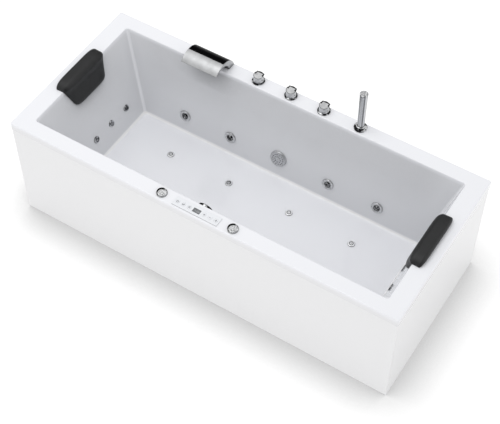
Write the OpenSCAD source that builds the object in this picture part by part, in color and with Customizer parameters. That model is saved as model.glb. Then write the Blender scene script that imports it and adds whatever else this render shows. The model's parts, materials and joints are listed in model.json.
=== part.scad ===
// Jetted bathtub: a free-standing rectangular jetted bath with deck fittings.
// X runs along the length, Y to the back, Z up. The origin is on the floor, in the middle.

/* [Tub] */
// Length over the rim
bath_l = 1800; // [1760:10:1900]
// Width over the rim
bath_w = 775; // [765:5:820]
// Height of the rim above the floor
bath_h = 550; // [540:5:600]
// Rim width at the two ends
rim_end_w = 79; // [70:1:90]
// Rim width along the two sides
rim_side_w = 67; // [64:1:74]
// Depth of the rim's turned-down lip
rim_lip_h = 38; // [34:1:50]
// Thickness of the acrylic shell
shell_t = 6; // [5:0.5:7]
// Height of the bathing floor
floor_z = 144; // [140:1:160]
// How far the end walls lean in from the rim to the floor
end_slope_w = 123; // [110:1:130]
// How far the side walls lean in from the rim to the floor
side_slope_w = 80; // [74:1:86]
// Radius where the walls meet each other and the floor
basin_r = 12; // [9:1:16]
// Radius of the rim's outer corners
rim_corner_r = 7; // [4:1:12]

/* [Skirt and frame] */
// Thickness of the apron panels
panel_t = 10; // [8:1:11]
// How far the panels stand back from the rim's edge
panel_inset = 3; // [2:0.5:4]
// Gap between the panels and the floor
panel_foot_gap = 4; // [3:1:10]
// Section of the steel rails
rail_s = 30; // [25:1:32]
// Wall of the steel tubes
rail_wall = 2; // [1.5:0.5:3]
// Height of the underside of the long rails
long_rail_z = 66; // [62:1:72]
// Section of the uprights
upright_s = 25; // [20:1:26]
// Thickness of the boards
board_t = 12; // [9:1:15]
// Radius of the foot pads
foot_r = 30; // [24:1:35]
// Height of the foot pads
foot_h = 14; // [10:1:18]
// Radius of the foot's threaded stem
stem_r = 6; // [5:0.5:7]

/* [Jets] */
// Height of the side jets above the bathing floor
side_jet_h = 90; // [84:1:94]
// Distance of the inner side jets from the middle, as a share of the tub's length
side_jet_inner_share = 0.1372; // [0.132:0.0004:0.142]
// Distance between two side jets, as a share of the tub's length
side_jet_pitch_share = 0.1322; // [0.126:0.0002:0.138]
// Radius of a side jet's chrome ring
jet_ring_r = 27; // [24:0.5:30]
// Height of a side jet's chrome ring
jet_ring_h = 6; // [5:0.5:8]
// Radius of the swivel nozzle's ball
jet_ball_r = 15; // [12:0.5:16]
// Radius of the nozzle's bore
jet_bore_r = 5; // [3:0.5:6]
// Radius of the small air jets' caps
air_cap_r = 16; // [13:0.5:18]
// Height of the small air jets' caps
air_cap_h = 4; // [3:0.5:6]
// Height of the end wall jets above the bathing floor
end_jet_h = 102; // [96:1:108]
// Distance of the floor jets from the centre line, as a share of the floor's width
floor_jet_y_share = 0.2017; // [0.19:0.0001:0.21]
// Distance between two floor jets, as a share of the tub's length
floor_jet_pitch_share = 0.17; // [0.165:0.001:0.175]
// Height of the suction cover's centre above the bathing floor
suction_h = 101; // [98:1:112]
// Radius of the suction cover
suction_r = 39; // [36:1:45]

/* [Deck fittings] */
// Radius of the chrome deck flanges
flange_r = 28; // [27:0.5:30]
// Distance between two valves
valve_pitch = 159; // [150:1:162]
// Place of the middle valve along the tub
valve_shift = -6; // [-8:1:0]
// Distance of the valves from the rim's inner edge
deck_inset = 36; // [32:0.5:36]
// Height of a valve's lever above the rim
lever_top_h = 36; // [34:1:44]
// Width of a valve's lever
lever_w = 37; // [35:1:42]
// Place of the hand shower along the tub, as a share of the tub's length
handset_x_share = 0.1808; // [0.178:0.0002:0.22]
// Height of the hand shower above the rim
handset_h = 202; // [195:1:250]
// Radius of the hand shower at its lower end
handset_r = 15; // [13:0.5:16]
// Radius of the hand shower at its spray face
handset_top_r = 17; // [16:0.5:20]
// Distance of the waterfall spout from the middle, as a share of the tub's length
spout_x_share = 0.2189; // [0.212:0.0001:0.233]
// Width of the spout
spout_w = 178; // [160:1:200]
// Radius of the spout's outer curve
spout_r = 79; // [76:1:82]
// Distance of the air controls from the middle, as a share of the tub's length
air_control_x_share = 0.0917; // [0.089:0.0001:0.1]
// Radius of the air control knobs
air_knob_r = 21; // [20:0.5:25]
// Height of the air control knobs
air_knob_h = 7; // [6:1:10]
// Length of the control plate
plate_l = 208; // [204:1:215]
// Width of the control plate
plate_w = 43; // [40:1:44]
// Thickness of the control plate
plate_t = 2; // [1.6:0.2:3]
// Radius of the plate's keys
key_r = 9; // [7:0.5:10]
// Travel of the keys
key_travel = 0.8; // [0.5:0.1:1]

/* [Waste and overflow] */
// Radius of the waste's flange
waste_r = 35; // [32:1:38]
// Rise of the waste plug
plug_travel = 10; // [6:1:12]
// Depth of the overflow's centre below the rim
overflow_drop = 63; // [60:1:70]
// Place of the waste and the overflow along the tub
overflow_x = -5; // [-18:1:0]
// Radius of the overflow knob
overflow_r = 34; // [30:1:36]
// Radius of the waste outlet
outlet_r = 20; // [18:1:21]

/* [Pillows] */
// Half the pillow's length at its top
pillow_half_l = 138; // [125:1:145]
// Half the pillow's length at its lower edge
pillow_low_half_l = 98; // [85:1:110]
// Part of the pillow that lies on the rim
pillow_on_rim = 27; // [24:1:32]
// Part of the pillow that lies on the wall
pillow_on_wall = 108; // [95:1:120]
// Thickness of the pillow at its crown
pillow_t = 30; // [24:1:34]

/* [Machines] */
// Radius of the water pipes
water_pipe_r = 14; // [12:0.5:15]
// Radius of the air pipes
air_pipe_r = 8; // [7:0.5:9]
// Wall of the pipes
pipe_wall = 2.5; // [2:0.5:3]
// Height of the water pipes
water_pipe_z = 170; // [166:1:174]
// Radius of the pump's wet end
pump_r = 60; // [52:1:62]
// Radius of the pump's motor
motor_r = 50; // [42:1:52]
// Radius of the blower
blower_r = 48; // [40:1:50]

/* [Hidden] */
$fn = 48;

// Clearance between pieces that are seated, and radial clearance of a running fit
gap = 0.3;
run_gap = 0.06;
// Overrun of every cut, and overlap of two shapes of one piece
cut = 2;
lap = 1;
// Small margins used round pieces that pass through or lie beside others
margin = 2;
pipe_clear = 3;
air_clear = 4;
trap_clear = 8;
// Radii of a pipe's elbow fitting and of a branch, as shares of the pipe's own
knee_share = 1.15;
branch_share = 0.8;

// Inner size of the basin at the rim, and the lean of its walls
inner_l = bath_l - 2 * rim_end_w;
inner_w = bath_w - 2 * rim_side_w;
floor_l = inner_l - 2 * end_slope_w;
floor_w = inner_w - 2 * side_slope_w;
depth = bath_h - floor_z;
end_lean = atan(end_slope_w / depth);
side_lean = atan(side_slope_w / depth);
deck_z = bath_h - shell_t;
function end_wall_x(z) = floor_l / 2 + (z - floor_z) * tan(end_lean);
function side_wall_y(z) = floor_w / 2 + (z - floor_z) * tan(side_lean);
// The same for the outer face of the shell
function back_of_end_wall_x(z) = end_wall_x(z) + shell_t / cos(end_lean);
function back_of_side_wall_y(z) = side_wall_y(z) + shell_t / cos(side_lean);

// Levels of the frame
cross_rail_z = long_rail_z + rail_s;
board_z = cross_rail_z + rail_s;
floor_under_z = floor_z - shell_t;
panel_top_z = bath_h - rim_lip_h - 0.5 * gap;
panel_inner_x = bath_l / 2 - panel_inset - panel_t;
panel_inner_y = bath_w / 2 - panel_inset - panel_t;
rail_end_gap = 4.5;
upright_clear = 12;
long_rail_l = 2 * (panel_inner_x - rail_end_gap);
upright_y = panel_inner_y - upright_clear - upright_s / 2;
cross_rail_l = 2 * (upright_y + upright_s / 2);

// Each side jet's place along the tub
side_jet_z = floor_z + side_jet_h;
side_jet_inner_x = bath_l * side_jet_inner_share;
side_jet_outer_x = side_jet_inner_x + bath_l * side_jet_pitch_share;
side_jet_xs = [-side_jet_outer_x, -side_jet_inner_x, side_jet_inner_x, side_jet_outer_x];
suction_z = floor_z + suction_h;
// Depths behind the wall of a side jet's flange and housing
jet_spigot_wall = 4.5;
jet_spigot_r = jet_ball_r + jet_spigot_wall;
jet_flange_t = 6;
jet_stub_out = 7;
jet_body_depth = 52;
jet_housing_r = 24;
jet_housing_depth = 34;
jet_ball_sink = 4;
jet_centre_y = side_wall_y(side_jet_z) + jet_housing_depth * cos(side_lean);
jet_centre_z = side_jet_z - jet_housing_depth * sin(side_lean);
water_stub_z = jet_centre_z - jet_housing_r - jet_stub_out;
air_stub_z = jet_centre_z + jet_housing_r + jet_stub_out;

// Places of the end jets across the tub, and of the floor jets along it
end_jet_pitch = 110;
end_jet_first_y = -74;
end_jet_ys = [for (k = [0:2]) end_jet_first_y + k * end_jet_pitch];
end_jet_z = floor_z + end_jet_h;
floor_jet_xs = [for (k = [-1.5:1:1.5]) k * bath_l * floor_jet_pitch_share];
floor_jet_y = floor_w * floor_jet_y_share;
air_spigot_r = 9;
air_body_r = 13;
air_body_depth = 34;
end_body_depth = 43;

// Deck fittings
deck_y = inner_w / 2 + deck_inset;
front_deck_shift = 2;
front_deck_y = -(inner_w / 2 + rim_side_w / 2 + front_deck_shift);
air_control_x = bath_l * air_control_x_share;
handset_x = bath_l * handset_x_share;
spout_x = -bath_l * spout_x_share;
tail_r = 11;
tail_l = 46;
thread_r = 10.5;
thread_l = 20;
tail_wall = 3;
valve_xs = [for (k = [-1:1]) valve_shift + k * valve_pitch];
spindle_r = 6;
nut_t = 7;
plate_shift = 2.2;
plate_y = front_deck_y - plate_shift;

// Machines
machine_clear = 13;
equipment_x = panel_inner_x - machine_clear - pump_r;
equipment_board_z = cross_rail_z;
equipment_top_z = cross_rail_z + board_t;
water_main_y = jet_centre_y;
suction_main_y = water_main_y + 2 * water_pipe_r + pipe_clear;
air_main_y = jet_centre_y;
air_rise = 38;
air_main_z = air_stub_z + air_rise;
water_header_x = back_of_end_wall_x(water_pipe_z) + water_pipe_r + pipe_clear;
air_header_x = back_of_end_wall_x(air_main_z) + air_pipe_r + air_clear;
air_branch_r = air_pipe_r * branch_share;
floor_air_z = cross_rail_z - air_pipe_r - air_clear;
floor_air_riser_x = water_header_x;
water_branch_step = 3;

// The waste stands outside the floor jets' air pipe, and the long rails outside its trap
trap_r = 27;
waste_y = floor_jet_y + air_pipe_r + trap_clear + trap_r;
long_rail_y = waste_y + trap_r + trap_clear + rail_s / 2;
overflow_z = bath_h - overflow_drop;

// The inner cross rails stand between the middle and the inner floor jets; the outer ones leave
// room for a foot beside each equipment board
cross_rail_clear = 17;
cross_rail_inner_x = floor_jet_xs[2] - air_body_r - cross_rail_clear - rail_s / 2;
board_edge = 3;
equipment_board_l = 2 * (pump_r + board_edge);
equipment_board_w = 2 * long_rail_y + rail_s;
foot_bay = 106;
foot_outer_x = equipment_x - equipment_board_l / 2 - foot_bay / 2;
cross_rail_outer_x = foot_outer_x - foot_bay / 2 - rail_s / 2;

// Colours as the photograph shows them
acrylic = "white";
panel_white = [0.92, 0.92, 0.92];
chrome = [0.75, 0.76, 0.78];
black = [0.07, 0.07, 0.08];
steel = [0.62, 0.63, 0.65];
pipe_white = [0.86, 0.87, 0.88];
grey_plastic = [0.45, 0.46, 0.48];
charcoal = [0.17, 0.17, 0.18];

// Helpers

// Puts its children on the side wall's inner face, with +Z out into the basin
module on_side_wall(x, z, side = 1) {
    if (side > 0) on_back_wall(x, z) children();
    else mirror([0, 1, 0]) on_back_wall(x, z) children();
}
module on_back_wall(x, z)
    translate([x, side_wall_y(z), z]) rotate([90 - side_lean, 0, 0]) children();

// Puts its children on an end wall's inner face, with +Z out into the basin
module on_end_wall(y, z, side = -1) {
    if (side < 0) on_left_wall(y, z) children();
    else mirror([1, 0, 0]) on_left_wall(y, z) children();
}
module on_left_wall(y, z)
    translate([-end_wall_x(z), y, z]) rotate([0, 90 - end_lean, 0]) children();

// Both the piece and its mirror image across the tub
module front_and_back() {
    children();
    mirror([0, 1, 0]) children();
}
module left_and_right() {
    children();
    mirror([1, 0, 0]) children();
}

// A ring: a cylinder of radius r and height h with a bore
module ring(r, bore, h) difference() {
    cylinder(r = r, h = h);
    translate([0, 0, -cut]) cylinder(r = bore, h = h + 2 * cut);
}

// A disc with a rounded upper edge
module soft_disc(r, h, edge) rotate_extrude() union() {
    square([r - edge, h]);
    square([r, h - edge]);
    translate([r - edge, h - edge]) intersection() {
        circle(r = edge);
        square(edge);
    }
}

// A square tube along X, from the origin
module square_tube(l, s, wall) difference() {
    cube([l, s, s]);
    translate([-cut, wall, wall]) cube([l + 2 * cut, s - 2 * wall, s - 2 * wall]);
}

// A round bar between two points that lie along one axis
module bar_x(x0, x1, y, z, r) translate([x0, y, z]) rotate([0, 90, 0]) cylinder(r = r, h = x1 - x0);
module bar_y(x, y0, y1, z, r) translate([x, y0, z]) rotate([-90, 0, 0]) cylinder(r = r, h = y1 - y0);
module bar_z(x, y, z0, z1, r) translate([x, y, z0]) cylinder(r = r, h = z1 - z0);
// A pipe's elbow fitting, a little wider than the pipe
module knee(x, y, z, r) translate([x, y, z]) sphere(r = r * knee_share);

// Shell

// The basin's hollow when grow is zero, and its outside when grow is the shell's thickness,
// and how far the grown wall stands out at its top, as a share of the growth, beyond the disc's own
function top_share(lean) = 1 / cos(lean) - tan(lean) - 1;
module basin(grow) {
    end_c = floor_l / 2 - basin_r * (1 - sin(end_lean)) / cos(end_lean);
    side_c = floor_w / 2 - basin_r * (1 - sin(side_lean)) / cos(side_lean);
    top_z = bath_h - grow;
    hull() for (x = [-1, 1], y = [-1, 1]) {
        translate([x * end_c, y * side_c, floor_z + basin_r])
            sphere(r = basin_r + grow, $fn = 32);
        translate([x * (inner_l / 2 - basin_r + grow * top_share(end_lean)),
                   y * (inner_w / 2 - basin_r + grow * top_share(side_lean)), top_z])
            cylinder(r = basin_r + grow, h = cut, $fn = 32);
    }
}

// A block with rounded upright edges, size l by w, centred, from z0 to z1
module rounded_block(l, w, r, z0, z1)
    hull() for (x = [-1, 1], y = [-1, 1])
        translate([x * (l / 2 - r), y * (w / 2 - r), z0]) cylinder(r = r, h = z1 - z0, $fn = 32);

module bath_shell() color(acrylic) difference() {
    union() {
        difference() {
            rounded_block(bath_l, bath_w, rim_corner_r, bath_h - rim_lip_h, bath_h);
            rounded_block(bath_l - 2 * shell_t, bath_w - 2 * shell_t, rim_corner_r - shell_t / 2,
                          bath_h - rim_lip_h - cut, deck_z);
        }
        basin(shell_t);
    }
    basin(0);
    for (side = [-1, 1], x = side_jet_xs)
        on_side_wall(x, side_jet_z, side) wall_hole(jet_spigot_r + gap);
    on_side_wall(0, suction_z) wall_hole(suction_spigot_r + gap);
    on_side_wall(overflow_x, overflow_z, -1) wall_hole(overflow_spigot_r + gap);
    for (side = [-1, 1], y = end_jet_ys)
        on_end_wall(y, end_jet_z, side) wall_hole(air_spigot_r + gap);
    for (x = floor_jet_xs, side = [-1, 1])
        translate([x, side * floor_jet_y, floor_z]) wall_hole(air_spigot_r + gap);
    translate([overflow_x, -waste_y, floor_z]) wall_hole(waste_spigot_r + gap);
    for (x = concat(valve_xs, [handset_x])) translate([x, deck_y, bath_h]) wall_hole(tail_r + gap);
    translate([spout_x, spout_tail_y, bath_h]) wall_hole(tail_r + gap);
    for (x = [-1, 1])
        translate([x * air_control_x, front_deck_y, bath_h]) wall_hole(air_socket_r + gap);
    translate([-plate_box_l / 2 - gap, plate_y - plate_box_w / 2 - gap, deck_z - cut])
        cube([plate_box_l + 2 * gap, plate_box_w + 2 * gap, shell_t + 2 * cut]);
    for (x = [-1, 1], y = [-1, 1])
        translate([x * pillow_pin_x, y * pillow_pin_y, bath_h]) wall_hole(pillow_pin_r + gap);
}
// A hole through the shell, seen from the face it is drilled from
module wall_hole(r) translate([0, 0, -shell_t - cut]) cylinder(r = r, h = shell_t + 2 * cut);

// Boards: one bonded under the floor, one on the rails at each end

board_end_inset = 35;
board_side_inset = 20.5;
floor_board_l = floor_l - 2 * board_end_inset;
floor_board_w = floor_w - 2 * board_side_inset;
module support_boards() color("burlywood") {
    difference() {
        translate([-floor_board_l / 2, -floor_board_w / 2, board_z])
            cube([floor_board_l, floor_board_w, floor_under_z - board_z]);
        for (x = floor_jet_xs, side = [-1, 1])
            translate([x, side * floor_jet_y, floor_z]) floor_hole(air_body_r + margin);
        translate([overflow_x, -waste_y, floor_z]) floor_hole(waste_spigot_r + 2 * margin);
    }
    left_and_right() translate([equipment_x - equipment_board_l / 2, -equipment_board_w / 2,
                                equipment_board_z])
        cube([equipment_board_l, equipment_board_w, board_t]);
}
module floor_hole(r) translate([0, 0, board_z - floor_z - cut]) cylinder(r = r, h = floor_z - board_z + cut);

// Frame

foot_xs = [-foot_outer_x, -cross_rail_inner_x / 2, foot_outer_x];
foot_edge = 3;
stem_above = 14;
stem_top_z = cross_rail_z + stem_above;
nut_r = 11;
stem_foot_r = 12;
stem_foot_h = 5;

module long_rails() color(steel) front_and_back() difference() {
    translate([-long_rail_l / 2, long_rail_y - rail_s / 2, long_rail_z])
        square_tube(long_rail_l, rail_s, rail_wall);
    for (x = foot_xs) translate([x, long_rail_y, long_rail_z - cut])
        cylinder(r = stem_r + gap, h = rail_s + 2 * cut);
}
module cross_rails() color(steel)
    for (x = [-cross_rail_outer_x, -cross_rail_inner_x, cross_rail_inner_x, cross_rail_outer_x])
        translate([x + rail_s / 2, -cross_rail_l / 2, cross_rail_z]) rotate([0, 0, 90])
            square_tube(cross_rail_l, rail_s, rail_wall);

// Uprights with a head plate under the rim
head_t = 3;
head_l = 50;
head_lap = 6;
head_w = upright_s + 2 * head_lap;
module uprights() color(steel) front_and_back()
    for (x = [-cross_rail_outer_x, -cross_rail_inner_x, cross_rail_inner_x, cross_rail_outer_x]) {
        translate([x - upright_s / 2, upright_y - upright_s / 2, board_z]) difference() {
            cube([upright_s, upright_s, deck_z - head_t - board_z]);
            translate([rail_wall, rail_wall, -cut])
                cube([upright_s - 2 * rail_wall, upright_s - 2 * rail_wall, deck_z - board_z - cut]);
        }
        translate([x - head_l / 2, upright_y - head_w / 2, deck_z - head_t])
            cube([head_l, head_w, head_t]);
    }

module foot_stems() color(steel) front_and_back() for (x = foot_xs)
    translate([x, long_rail_y, foot_h]) {
        cylinder(r = stem_foot_r, h = stem_foot_h);
        cylinder(r = stem_r, h = stem_top_z - foot_h);
    }
module foot_pads() color(black) front_and_back() for (x = foot_xs)
    translate([x, long_rail_y, 0]) soft_disc(foot_r, foot_h, foot_edge);

// A six-sided nut of height h on a thread of radius r
module nut(r, across, h) difference() {
    cylinder(r = across, h = h, $fn = 6);
    translate([0, 0, -cut]) cylinder(r = r, h = h + 2 * cut);
}
deck_nut_r = 17;
module lock_nuts() color(steel) {
    front_and_back() for (x = foot_xs) {
        translate([x, long_rail_y, long_rail_z - nut_t]) nut(stem_r + run_gap, nut_r, nut_t);
        translate([x, long_rail_y, cross_rail_z]) nut(stem_r + run_gap, nut_r, nut_t);
    }
    for (x = concat(valve_xs, [handset_x])) translate([x, deck_y, deck_z - nut_t])
        nut(tail_r + run_gap, deck_nut_r, nut_t);
    translate([spout_x, spout_tail_y, deck_z - nut_t]) nut(tail_r + run_gap, deck_nut_r, nut_t);
    left_and_right() translate([air_control_x, front_deck_y, deck_z - nut_t])
        nut(air_socket_r + run_gap, air_socket_r + nut_t, nut_t);
}

// Panels: front and back run the full length, the end panels fit between them

panel_l = bath_l - 2 * panel_inset;
end_panel_w = 2 * (panel_inner_y - gap);
module long_panel() translate([-panel_l / 2, -bath_w / 2 + panel_inset, panel_foot_gap])
    cube([panel_l, panel_t, panel_top_z - panel_foot_gap]);
module end_panel() translate([panel_inner_x, -end_panel_w / 2, panel_foot_gap])
    cube([panel_t, end_panel_w, panel_top_z - panel_foot_gap]);
module front_panel() color(panel_white) long_panel();
module back_panel() color(panel_white) mirror([0, 1, 0]) long_panel();
module left_panel() color(panel_white) mirror([1, 0, 0]) end_panel();
module right_panel() color(panel_white) end_panel();

// Angle brackets: one leg under the rim, the other down behind a panel
bracket_w = 40;
bracket_drop = 62;
bracket_reach = 20;
bracket_t = 3;
bracket_back = 75;
bracket_x = cross_rail_outer_x - bracket_back;
bracket_y = 150;
module angle_bracket() {
    translate([-bracket_w / 2, -gap - bracket_t, deck_z - bracket_drop])
        cube([bracket_w, bracket_t, bracket_drop]);
    translate([-bracket_w / 2, -gap - bracket_reach, deck_z - bracket_t])
        cube([bracket_w, bracket_reach, bracket_t]);
}
module panel_brackets() color(steel) {
    for (x = [-1, 1]) front_and_back() translate([x * bracket_x, panel_inner_y, 0]) angle_bracket();
    left_and_right() for (y = [-1, 1])
        translate([panel_inner_x, y * bracket_y, 0]) rotate([0, 0, -90]) angle_bracket();
    // Feet of the end panels: blocks between the long rails and the panel
    left_and_right() front_and_back()
        translate([long_rail_l / 2, long_rail_y - rail_s / 2, long_rail_z])
            cube([panel_inner_x - gap - long_rail_l / 2, rail_s, rail_s]);
}

// Side jets, eight in two rows

// The body of one jet behind the back wall, with a water stub below and an air stub above
module back_jet_body(x) {
    on_back_wall(x, side_jet_z) difference() {
        union() {
            translate([0, 0, -jet_body_depth]) cylinder(r = jet_spigot_r, h = jet_body_depth);
            translate([0, 0, -shell_t - gap - jet_flange_t])
                cylinder(r = jet_ring_r + margin, h = jet_flange_t);
            translate([0, 0, -jet_body_depth])
                cylinder(r = jet_housing_r, h = jet_body_depth - shell_t - jet_flange_t - gap);
        }
        translate([0, 0, -jet_ball_sink - jet_ball_r - gap])
            cylinder(r = jet_ball_r + run_gap, h = jet_ball_r + jet_ball_sink + cut);
        translate([0, 0, -jet_body_depth + pipe_wall])
            cylinder(r = jet_ball_r * 0.6, h = jet_body_depth);
    }
    difference() {
        union() {
            bar_z(x, jet_centre_y, water_stub_z, jet_centre_z,
                  water_pipe_r - water_branch_step);
            bar_z(x, jet_centre_y, jet_centre_z, air_stub_z, air_branch_r);
        }
        on_back_wall(x, side_jet_z) translate([0, 0, -jet_body_depth - cut])
            cylinder(r = jet_housing_r - 2 * gap, h = 2 * jet_body_depth);
    }
}
suction_spigot_r = 24;
suction_body_depth = 78;
suction_stub_l = 50;
suction_stub_z = suction_z - suction_stub_l;
module suction_body() {
    on_back_wall(0, suction_z) difference() {
        union() {
            translate([0, 0, -suction_body_depth]) cylinder(r = suction_spigot_r, h = suction_body_depth);
            translate([0, 0, -shell_t - gap - jet_flange_t])
                cylinder(r = suction_r - 2 * margin, h = jet_flange_t);
        }
        translate([0, 0, -suction_body_depth + pipe_wall])
            cylinder(r = suction_spigot_r - 2 * pipe_wall, h = suction_body_depth + cut);
    }
    difference() {
        bar_z(0, suction_main_y, suction_stub_z, suction_z, water_pipe_r);
        on_back_wall(0, suction_z) translate([0, 0, -suction_body_depth - cut])
            cylinder(r = suction_spigot_r - gap, h = 2 * suction_body_depth);
    }
}
module side_jet_bodies() color(grey_plastic) {
    front_and_back() for (x = side_jet_xs) back_jet_body(x);
    suction_body();
}
module side_jet_rings() color(chrome) for (side = [-1, 1], x = side_jet_xs)
    on_side_wall(x, side_jet_z, side) translate([0, 0, gap]) difference() {
        soft_disc(jet_ring_r, jet_ring_h, jet_ring_h / 2);
        translate([0, 0, -cut]) cylinder(r = jet_ball_r + run_gap, h = jet_ring_h + 2 * cut);
        translate([0, 0, jet_ring_h - jet_ring_h / 3])
            cylinder(r1 = jet_ball_r, r2 = jet_ring_r - jet_ring_h / 2, h = jet_ring_h / 3 + gap);
    }

// One swivel nozzle: a ball with a flared bore, numbered along the back wall and then the front wall
module side_jet_nozzle(i) color(black)
    on_side_wall(side_jet_xs[i % 4], side_jet_z, i < 4 ? 1 : -1)
        translate([0, 0, -jet_ball_sink]) difference() {
            sphere(r = jet_ball_r);
            translate([0, 0, -jet_ball_r - cut]) cylinder(r = jet_bore_r, h = 2 * jet_ball_r + 2 * cut);
            translate([0, 0, jet_ball_r * 0.6])
                cylinder(r1 = jet_bore_r, r2 = jet_ball_r * 0.66, h = jet_ball_r * 0.4 + gap);
        }

// Small air jets in the end walls and the floor

module air_jet_body(l) difference() {
    union() {
        translate([0, 0, -l]) cylinder(r = air_spigot_r, h = l);
        translate([0, 0, -l]) cylinder(r = air_body_r, h = l - shell_t - gap);
    }
    translate([0, 0, -l + pipe_wall]) cylinder(r = air_spigot_r - pipe_wall, h = l + cut);
}
end_stub_l = 14;
end_stub_top_z = end_jet_z + end_stub_l;
module air_jet_bodies() color(grey_plastic) {
    left_and_right() for (y = end_jet_ys) {
        on_end_wall(y, end_jet_z, 1) air_jet_body(end_body_depth);
        difference() {
            bar_z(air_header_x, y, end_jet_z - air_body_r, end_stub_top_z, air_branch_r);
            on_end_wall(y, end_jet_z, 1) translate([0, 0, -end_body_depth - cut])
                cylinder(r = air_body_r - gap, h = 2 * end_body_depth);
        }
    }
    for (x = floor_jet_xs, side = [-1, 1]) {
        translate([x, side * floor_jet_y, floor_z]) air_jet_body(air_body_depth);
        bar_z(x, side * floor_jet_y, floor_air_z + air_pipe_r + gap, floor_z - air_body_depth + lap,
              air_branch_r);
    }
}
module air_cap() translate([0, 0, gap]) difference() {
    soft_disc(air_cap_r, air_cap_h, air_cap_h * 0.6);
    translate([0, 0, air_cap_h * 0.6]) ring(air_cap_r * 0.62, air_cap_r * 0.4, air_cap_h);
    translate([0, 0, -cut]) cylinder(r = air_cap_r * 0.13, h = air_cap_h + 2 * cut);
    for (k = [0:5]) rotate([0, 0, k * 60]) translate([air_cap_r * 0.51, 0, -cut])
        cylinder(r = air_cap_r * 0.07, h = air_cap_h + 2 * cut);
}
module air_jet_caps() color(chrome) {
    for (side = [-1, 1], y = end_jet_ys) on_end_wall(y, end_jet_z, side) air_cap();
    for (x = floor_jet_xs, side = [-1, 1]) translate([x, side * floor_jet_y, floor_z]) air_cap();
}

// Suction cover with two rings of holes
suction_cover_h = 9;
suction_hole_r = 2.6;
cover_t = 3;
cover_rim_w = 5;
groove_w = 2;
module suction_cover() color(chrome) on_side_wall(0, suction_z) translate([0, 0, gap]) difference() {
    soft_disc(suction_r, suction_cover_h, suction_cover_h * 0.6);
    translate([0, 0, -cut]) cylinder(r = suction_r - 4 * pipe_wall, h = suction_cover_h - cover_t + cut);
    translate([0, 0, suction_cover_h - groove_w / 2])
        ring(suction_r - cover_rim_w, suction_r - cover_rim_w - groove_w, suction_cover_h);
    for (n = [8, 14], k = [0:n - 1]) rotate([0, 0, k * 360 / n])
        translate([(n == 8 ? 0.36 : 0.64) * suction_r, 0, -cut])
            cylinder(r = suction_hole_r, h = suction_cover_h + 2 * cut, $fn = 16);
}

// Overflow on the front wall, with the knob that works the waste plug

overflow_spigot_r = 18;
overflow_body_depth = 34;
overflow_flange_h = 4;
overflow_knob_h = 18;
overflow_pipe_r = 12;
knob_over = 3;
grip_r = 3;
grip_out = 1.2;
knob_wall = 5;
hub_wall = 4;
overflow_pipe_back = overflow_body_depth - overflow_pipe_r;
overflow_pipe_y = side_wall_y(overflow_z) + overflow_pipe_back * cos(side_lean);
overflow_stub_z = overflow_z - overflow_spigot_r - overflow_pipe_r;
module overflow_body() color(chrome) {
    difference() {
        bar_z(overflow_x, -overflow_pipe_y, overflow_stub_z, overflow_z, overflow_pipe_r);
        bar_z(overflow_x, -overflow_pipe_y, overflow_stub_z - cut, overflow_z + cut,
              overflow_pipe_r - pipe_wall);
        on_side_wall(overflow_x, overflow_z, -1) translate([0, 0, -2 * overflow_body_depth])
            cylinder(r = overflow_spigot_r - gap, h = 4 * overflow_body_depth);
    }
    overflow_neck();
}
module overflow_neck() on_side_wall(overflow_x, overflow_z, -1) difference() {
    union() {
        translate([0, 0, gap]) cylinder(r = overflow_r - knob_over, h = overflow_flange_h);
        translate([0, 0, -overflow_body_depth])
            cylinder(r = overflow_spigot_r, h = overflow_body_depth + cut);
        translate([0, 0, -shell_t - gap - jet_flange_t])
            cylinder(r = overflow_r - 2 * knob_over, h = jet_flange_t);
    }
    for (a = [0:60:300]) rotate([0, 0, a])
        translate([overflow_spigot_r * 0.62, 0, -overflow_body_depth + pipe_wall])
            cylinder(r = overflow_spigot_r * 0.2, h = 2 * overflow_body_depth);
    translate([0, 0, -overflow_body_depth / 2])
        cylinder(r = spindle_r + run_gap, h = 2 * overflow_body_depth);
}
module overflow_knob() color(chrome) on_side_wall(overflow_x, overflow_z, -1) {
    translate([0, 0, gap + overflow_flange_h + gap]) difference() {
        soft_disc(overflow_r, overflow_knob_h, overflow_knob_h * 0.3);
        for (k = [0:11]) rotate([0, 0, k * 30]) translate([overflow_r + grip_out, 0, -cut])
            cylinder(r = grip_r, h = overflow_knob_h * 0.7 + cut, $fn = 24);
        translate([0, 0, -cut]) ring(overflow_r - knob_wall, spindle_r + hub_wall,
                                     overflow_knob_h - hub_wall + cut);
    }
    translate([0, 0, -overflow_body_depth / 2 + lap])
        cylinder(r = spindle_r, h = overflow_body_depth / 2 + overflow_flange_h + hub_wall);
}

// Waste: body through the floor, pop-up plug, trap and overflow pipe

waste_spigot_r = 25;
waste_flange_h = 2.5;
waste_body_end_z = 82;
waste_bore_r = 21;
plug_stem_r = 4;
plug_stem_l = 34;
plug_h = 7;
plug_inset = 4;
guide_h = 10;
guide_arm_w = 3;
module waste_body() color(chrome) translate([overflow_x, -waste_y, floor_z]) {
    difference() {
        union() {
            translate([0, 0, gap]) soft_disc(waste_r, waste_flange_h, waste_flange_h / 2);
            translate([0, 0, waste_body_end_z - floor_z])
                cylinder(r = waste_spigot_r, h = floor_z - waste_body_end_z + waste_flange_h / 2);
        }
        translate([0, 0, waste_body_end_z - floor_z - cut])
            cylinder(r = waste_bore_r, h = floor_z - waste_body_end_z + 3 * cut);
    }
    // The hub that guides the plug's stem, on three arms
    translate([0, 0, -plug_stem_l + plug_inset]) difference() {
        union() {
            cylinder(r = plug_stem_r + guide_arm_w, h = guide_h);
            for (a = [0:120:240]) rotate([0, 0, a]) translate([0, -guide_arm_w / 2, 0])
                cube([waste_bore_r + lap, guide_arm_w, guide_h]);
        }
        translate([0, 0, -cut]) cylinder(r = plug_stem_r + run_gap, h = guide_h + 2 * cut);
    }
}
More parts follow.
